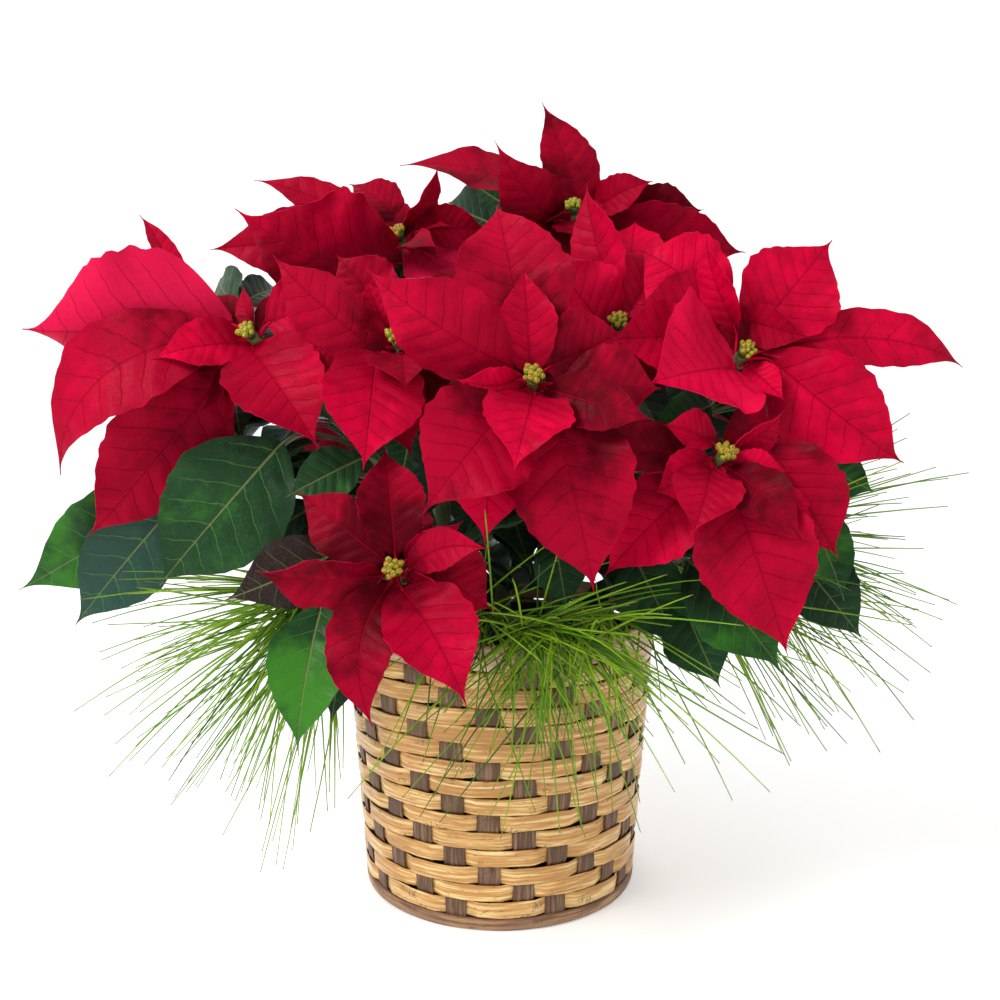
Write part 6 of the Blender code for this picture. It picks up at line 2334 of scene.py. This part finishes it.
@dataclass
class PineSprays:
    """The sprays of long pine needles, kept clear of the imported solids."""

    palette: Palette
    steps: int = 6
    root_radius: float = 0.00075
    tip_radius: float = 0.00028
    tries: int = 6000
    keep_off: float = 0.0012
    over_box: float = 0.017
    floor_gap: float = 0.004
    twig_radius: float = 0.0022
    twig_steps: int = 16
    twig_sides: int = 12
    shoot_radii: tuple[float, ...] = (0.0012, 0.0010, 0.0008, 0.0006)
    shoot_sizes: tuple[float, ...] = (1.0, 0.8, 0.6, 0.45, 0.3)

    def build(self) -> None:
        """Makes every spray."""
        self.trees = [self.tree_of_node(name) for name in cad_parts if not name.startswith("pine_spray")]
        self.rooms = [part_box(name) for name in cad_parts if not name.startswith("pine_spray")]
        maker = self.tree()
        for name, spray in SPRAYS.items():
            self.build_spray(name, spray, maker)

    def tree_of_node(self, name: str) -> BVHTree:
        """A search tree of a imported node."""
        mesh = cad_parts[name].data
        return BVHTree.FromPolygons([vert.co.copy() for vert in mesh.vertices],
                                    [tuple(face.vertices) for face in mesh.polygons])

    def build_spray(self, name: str, spray: Spray, tree: bpy.types.NodeTree) -> None:
        """Makes one spray: its twig and its needles.

        Args:
            name: The spray's name.
            spray: Its twig.
            tree: The geometry tree that gives the needles their thickness.
        """
        draw = random.Random(f"{SEED} fine spray {name}")
        foot, bend, end = (Vector(place) * MM for place in (spray.foot, spray.bend, spray.end))
        fan = FANS[name]
        shoots = [[bend, end], *self.side_shoots(fan, bend, end)]
        lines, tries = [], 0
        while len(lines) < fan.needles and tries < self.tries:
            tries += 1
            line = self.needle_line(fan, draw.choice(shoots), draw)
            if self.is_clear(line):
                lines.append(line)
        start = bpy.data.meshes.new("Needle start")
        points = [tuple(place) for line in lines for place in line]
        edges = [(first * (self.steps + 1) + step, first * (self.steps + 1) + step + 1)
                 for first in range(len(lines)) for step in range(self.steps)]
        start.from_pydata(points, edges, [])
        values = {"Root Radius": self.root_radius, "Tip Radius": self.tip_radius, "Seed": SEED,
                  "Finish": self.palette[Finish.NEEDLE]}
        mesh = settled(f"pine_needles_{name}", tree, start, values)
        mesh.shade_smooth()
        mount(object_of(f"pine_needles_{name}", mesh), [f"pine_spray_{name}"], "needle")
        twig = Batch(f"pine_twig_{name}")
        path = curve_path(foot, UP, end, end - bend, self.twig_steps)
        radii = [self.twig_radius * (1.0 - 0.6 * step / self.twig_steps) * (1.0 + 0.12 * math.sin(2.3 * step))
                 for step in range(self.twig_steps + 1)]
        twig.add_bar(path, radii, self.twig_sides, 0, STEM_TONE)
        for shoot in shoots[1:]:
            twig.add_bar(shoot, self.shoot_radii, self.twig_sides, 0, STEM_TONE)
        mount(twig.build([self.palette[Finish.TWIG]]), [f"pine_spray_{name}"], "needle")
        LOG.info("pine spray %s: %d needles of %d tries", name, len(lines), tries)

    def side_shoots(self, fan: Fan, bend: Vector, end: Vector) -> list[list[Vector]]:
        """The side shoots of a twig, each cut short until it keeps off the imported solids.

        Args:
            fan: How the spray spreads.
            bend: Where the twig's bare part ends.
            end: The twig's end.

        Returns:
            The points of each shoot's middle line.
        """
        shoots: list[list[Vector]] = []
        for index, reach in enumerate(fan.shoots):
            start = bend.lerp(end, 0.2 + 0.6 * index / len(fan.shoots))
            for size in self.shoot_sizes:
                way = Vector(reach) * (MM * size)
                shoot = [start + way * share + UP * (0.06 * way.length * math.sin(math.pi * share))
                         for share in (0.0, 0.35, 0.7, 1.0)]
                if self.is_clear(shoot):
                    shoots.append(shoot)
                    break
        return shoots

    def fanned(self, fan: Fan, draw: random.Random, share: float) -> Vector:
        """A way drawn at random within this share of a fan's spread."""
        aim = Vector(fan.aim).normalized()
        side = square_to(Vector((draw.gauss(0, 1), draw.gauss(0, 1), draw.gauss(0, 1))), aim)
        spread = math.radians(fan.spread) * share * draw.random() ** 0.6
        return aim * math.cos(spread) + side * math.sin(spread)

    def needle_line(self, fan: Fan, shoot: list[Vector], draw: random.Random) -> list[Vector]:
        """One needle's middle line, drawn at random.

        Args:
            fan: How the spray spreads.
            shoot: The twig or shoot that bears it.
            draw: Draws the needle.

        Returns:
            The points of the line.
        """
        where = draw.random() ** 0.7 * (len(shoot) - 1)
        joint = min(int(where), len(shoot) - 2)
        start = shoot[joint].lerp(shoot[joint + 1], where - joint)
        way = self.fanned(fan, draw, 1.0)
        length = fan.length * MM * (0.46 + 0.54 * draw.random() ** fan.evens)
        droop = draw.uniform(0.02, 0.22)
        sway = square_to(Vector((draw.gauss(0, 1), draw.gauss(0, 1), 0.2)), way) * draw.uniform(0.0, 0.10)
        line = []
        for step in range(self.steps + 1):
            far = step / self.steps
            line.append(start + (way * far - UP * (droop * far * far) + sway * (far * far)) * length)
        return line

    def is_clear(self, line: list[Vector]) -> bool:
        """Whether a needle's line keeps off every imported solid."""
        low = Vector(min(place[axis] for place in line) for axis in range(3))
        high = Vector(max(place[axis] for place in line) for axis in range(3))
        if low.z < self.floor_gap:
            return False
        for axis, (least, most) in enumerate(zip(*PACKED_BOX)):
            if low[axis] < least - self.over_box or high[axis] > most + self.over_box:
                return False
        for tree, (floor, roof) in zip(self.trees, self.rooms):
            if any(high[axis] < floor[axis] or low[axis] > roof[axis] for axis in range(3)):
                continue
            for here, there in zip(line, line[1:]):
                way = there - here
                if tree.ray_cast(here, way.normalized(), way.length)[0] is not None:
                    return False
            if any(tree.find_nearest(place, self.keep_off)[0] is not None for place in line[1:]):
                return False
        return True

    def tree(self) -> bpy.types.NodeTree:
        """The geometry tree that sweeps four-sided needles along their lines."""
        number = "NodeSocketFloat"
        maker = GroupMaker("Needles", "GeometryNodeTree", {
            "Geometry": ("NodeSocketGeometry", None), "Root Radius": (number, 0.0007),
            "Tip Radius": (number, 0.0003), "Seed": ("NodeSocketInt", SEED),
            "Finish": ("NodeSocketMaterial", None)}, {"Geometry": "NodeSocketGeometry"})
        given = maker.given
        island = maker.wire("GeometryNodeInputMeshIsland", None, "Island Index")
        tagged = maker.store(given("Geometry"), "each", maker.drawn(0.0, 1.0, ID=island))
        lines = maker.add("GeometryNodeMeshToCurve", {0: tagged})
        along = maker.wire("GeometryNodeSplineParameter", None, "Factor")
        taper = given("Tip Radius") - given("Root Radius")
        radius = given("Root Radius") + taper * along.math("POWER", 1.5)
        mark = maker.add("ShaderNodeCombineXYZ", {
            0: along, 1: maker.wire("GeometryNodeInputNamedAttribute", {"Name": "each"}, data_type="FLOAT")})
        named = maker.store(lines.outputs[0], "needle", mark.outputs[0], "FLOAT_VECTOR")
        sized = maker.add("GeometryNodeSetCurveRadius", {"Curve": named, "Radius": radius})
        profile = maker.add("GeometryNodeCurvePrimitiveCircle", {"Resolution": 4, "Radius": 1.0})
        swept = maker.add("GeometryNodeCurveToMesh", {
            "Curve": sized.outputs[0], "Profile Curve": profile.outputs[0], "Fill Caps": True,
            "Scale": radius})
        maker.finish(swept.outputs[0])
        return maker.tree


@dataclass(frozen=True)
class SoftLamp:
    """A square studio lamp that points at the plant."""

    name: str
    place: Triple
    aim: Triple
    side: float
    watts: float
    colour: Colour = (1.0, 1.0, 1.0)


@dataclass
class Studio:
    """The pale floor, the soft lamps and the camera."""

    palette: Palette
    pitch: float = math.radians(7.4)
    lens: float = 40.36
    sky: float = 0.66
    floor_half: float = 6.0
    sweep_from: float = 2.4
    sweep_height: float = 3.2
    sweep_steps: int = 16
    lamps: tuple[SoftLamp, ...] = (
        SoftLamp("key", (-1.25, -1.05, 1.65), (0.0, 0.0, 0.25), 0.7, 36.0),
        SoftLamp("fill", (1.0, -2.0, 0.9), (0.0, 0.0, 0.3), 1.6, 4.0),
        SoftLamp("back", (-0.6, 1.8, 1.6), (0.0, 0.0, 0.35), 1.2, 8.0),
    )

    def build(self) -> None:
        """Makes the floor, the lamps, the sky and the camera."""
        scene = bpy.context.scene
        scene.view_settings.view_transform = "Standard"
        scene.view_settings.look = "None"
        self.build_floor()
        for lamp in self.lamps:
            self.build_lamp(lamp)
        world = bpy.data.worlds.new("Pale room")
        world.use_nodes = True
        glow = world.node_tree.nodes["Background"]
        glow.inputs["Color"].default_value = (1.0, 1.0, 1.0, 1.0)
        glow.inputs["Strength"].default_value = self.sky
        scene.world = world
        data = bpy.data.cameras.new("Camera")
        data.lens = self.lens
        data.sensor_width = 36.0
        data.clip_start = 0.02
        camera = bpy.data.objects.new("Camera", data)
        camera.location = EYE
        camera.rotation_euler = (math.pi / 2.0 - self.pitch, 0.0, 0.0)
        scene.collection.objects.link(camera)
        scene.camera = camera

    def build_floor(self) -> None:
        """Makes the floor, a wide level sheet that curves up far behind the plant."""
        rows = [(-self.floor_half, 0.0), (self.sweep_from, 0.0)]
        for step in range(1, self.sweep_steps + 1):
            turn = math.pi / 2.0 * step / self.sweep_steps
            rows.append((self.sweep_from + math.sin(turn), 1.0 - math.cos(turn)))
        rows.append((self.sweep_from + 1.0, self.sweep_height))
        points = [(side * self.floor_half, y, z) for y, z in rows for side in (-1, 1)]
        faces = [(2 * row, 2 * row + 1, 2 * row + 3, 2 * row + 2) for row in range(len(rows) - 1)]
        mesh = bpy.data.meshes.new("studio_floor")
        mesh.from_pydata(points, [], faces)
        mesh.materials.append(self.palette[Finish.FLOOR])
        mesh.shade_smooth()
        object_of("studio_floor", mesh)

    def build_lamp(self, lamp: SoftLamp) -> None:
        """Makes one lamp."""
        data = bpy.data.lights.new(lamp.name, "AREA")
        data.shape = "SQUARE"
        data.size = lamp.side
        data.energy = lamp.watts
        data.color = lamp.colour
        made = bpy.data.objects.new(lamp.name, data)
        made.location = lamp.place
        made.rotation_euler = (Vector(lamp.aim) - Vector(lamp.place)).to_track_quat("-Z", "Y").to_euler()
        bpy.context.scene.collection.objects.link(made)


def main() -> None:
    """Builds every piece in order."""
    logging.basicConfig(level=logging.INFO, format="%(message)s")
    palette = Palette()
    Studio(palette).build()
    layout = Layout()
    LOG.info("crossings left: %d", Settler(layout).run())
    LOG.info("small blades added: %d", Filler(layout).run())
    Basket(palette).build()
    Foliage(layout, palette).build()
    Flowers(layout, palette).build()
    PineSprays(palette).build()


if __name__ == "__main__":
    main()
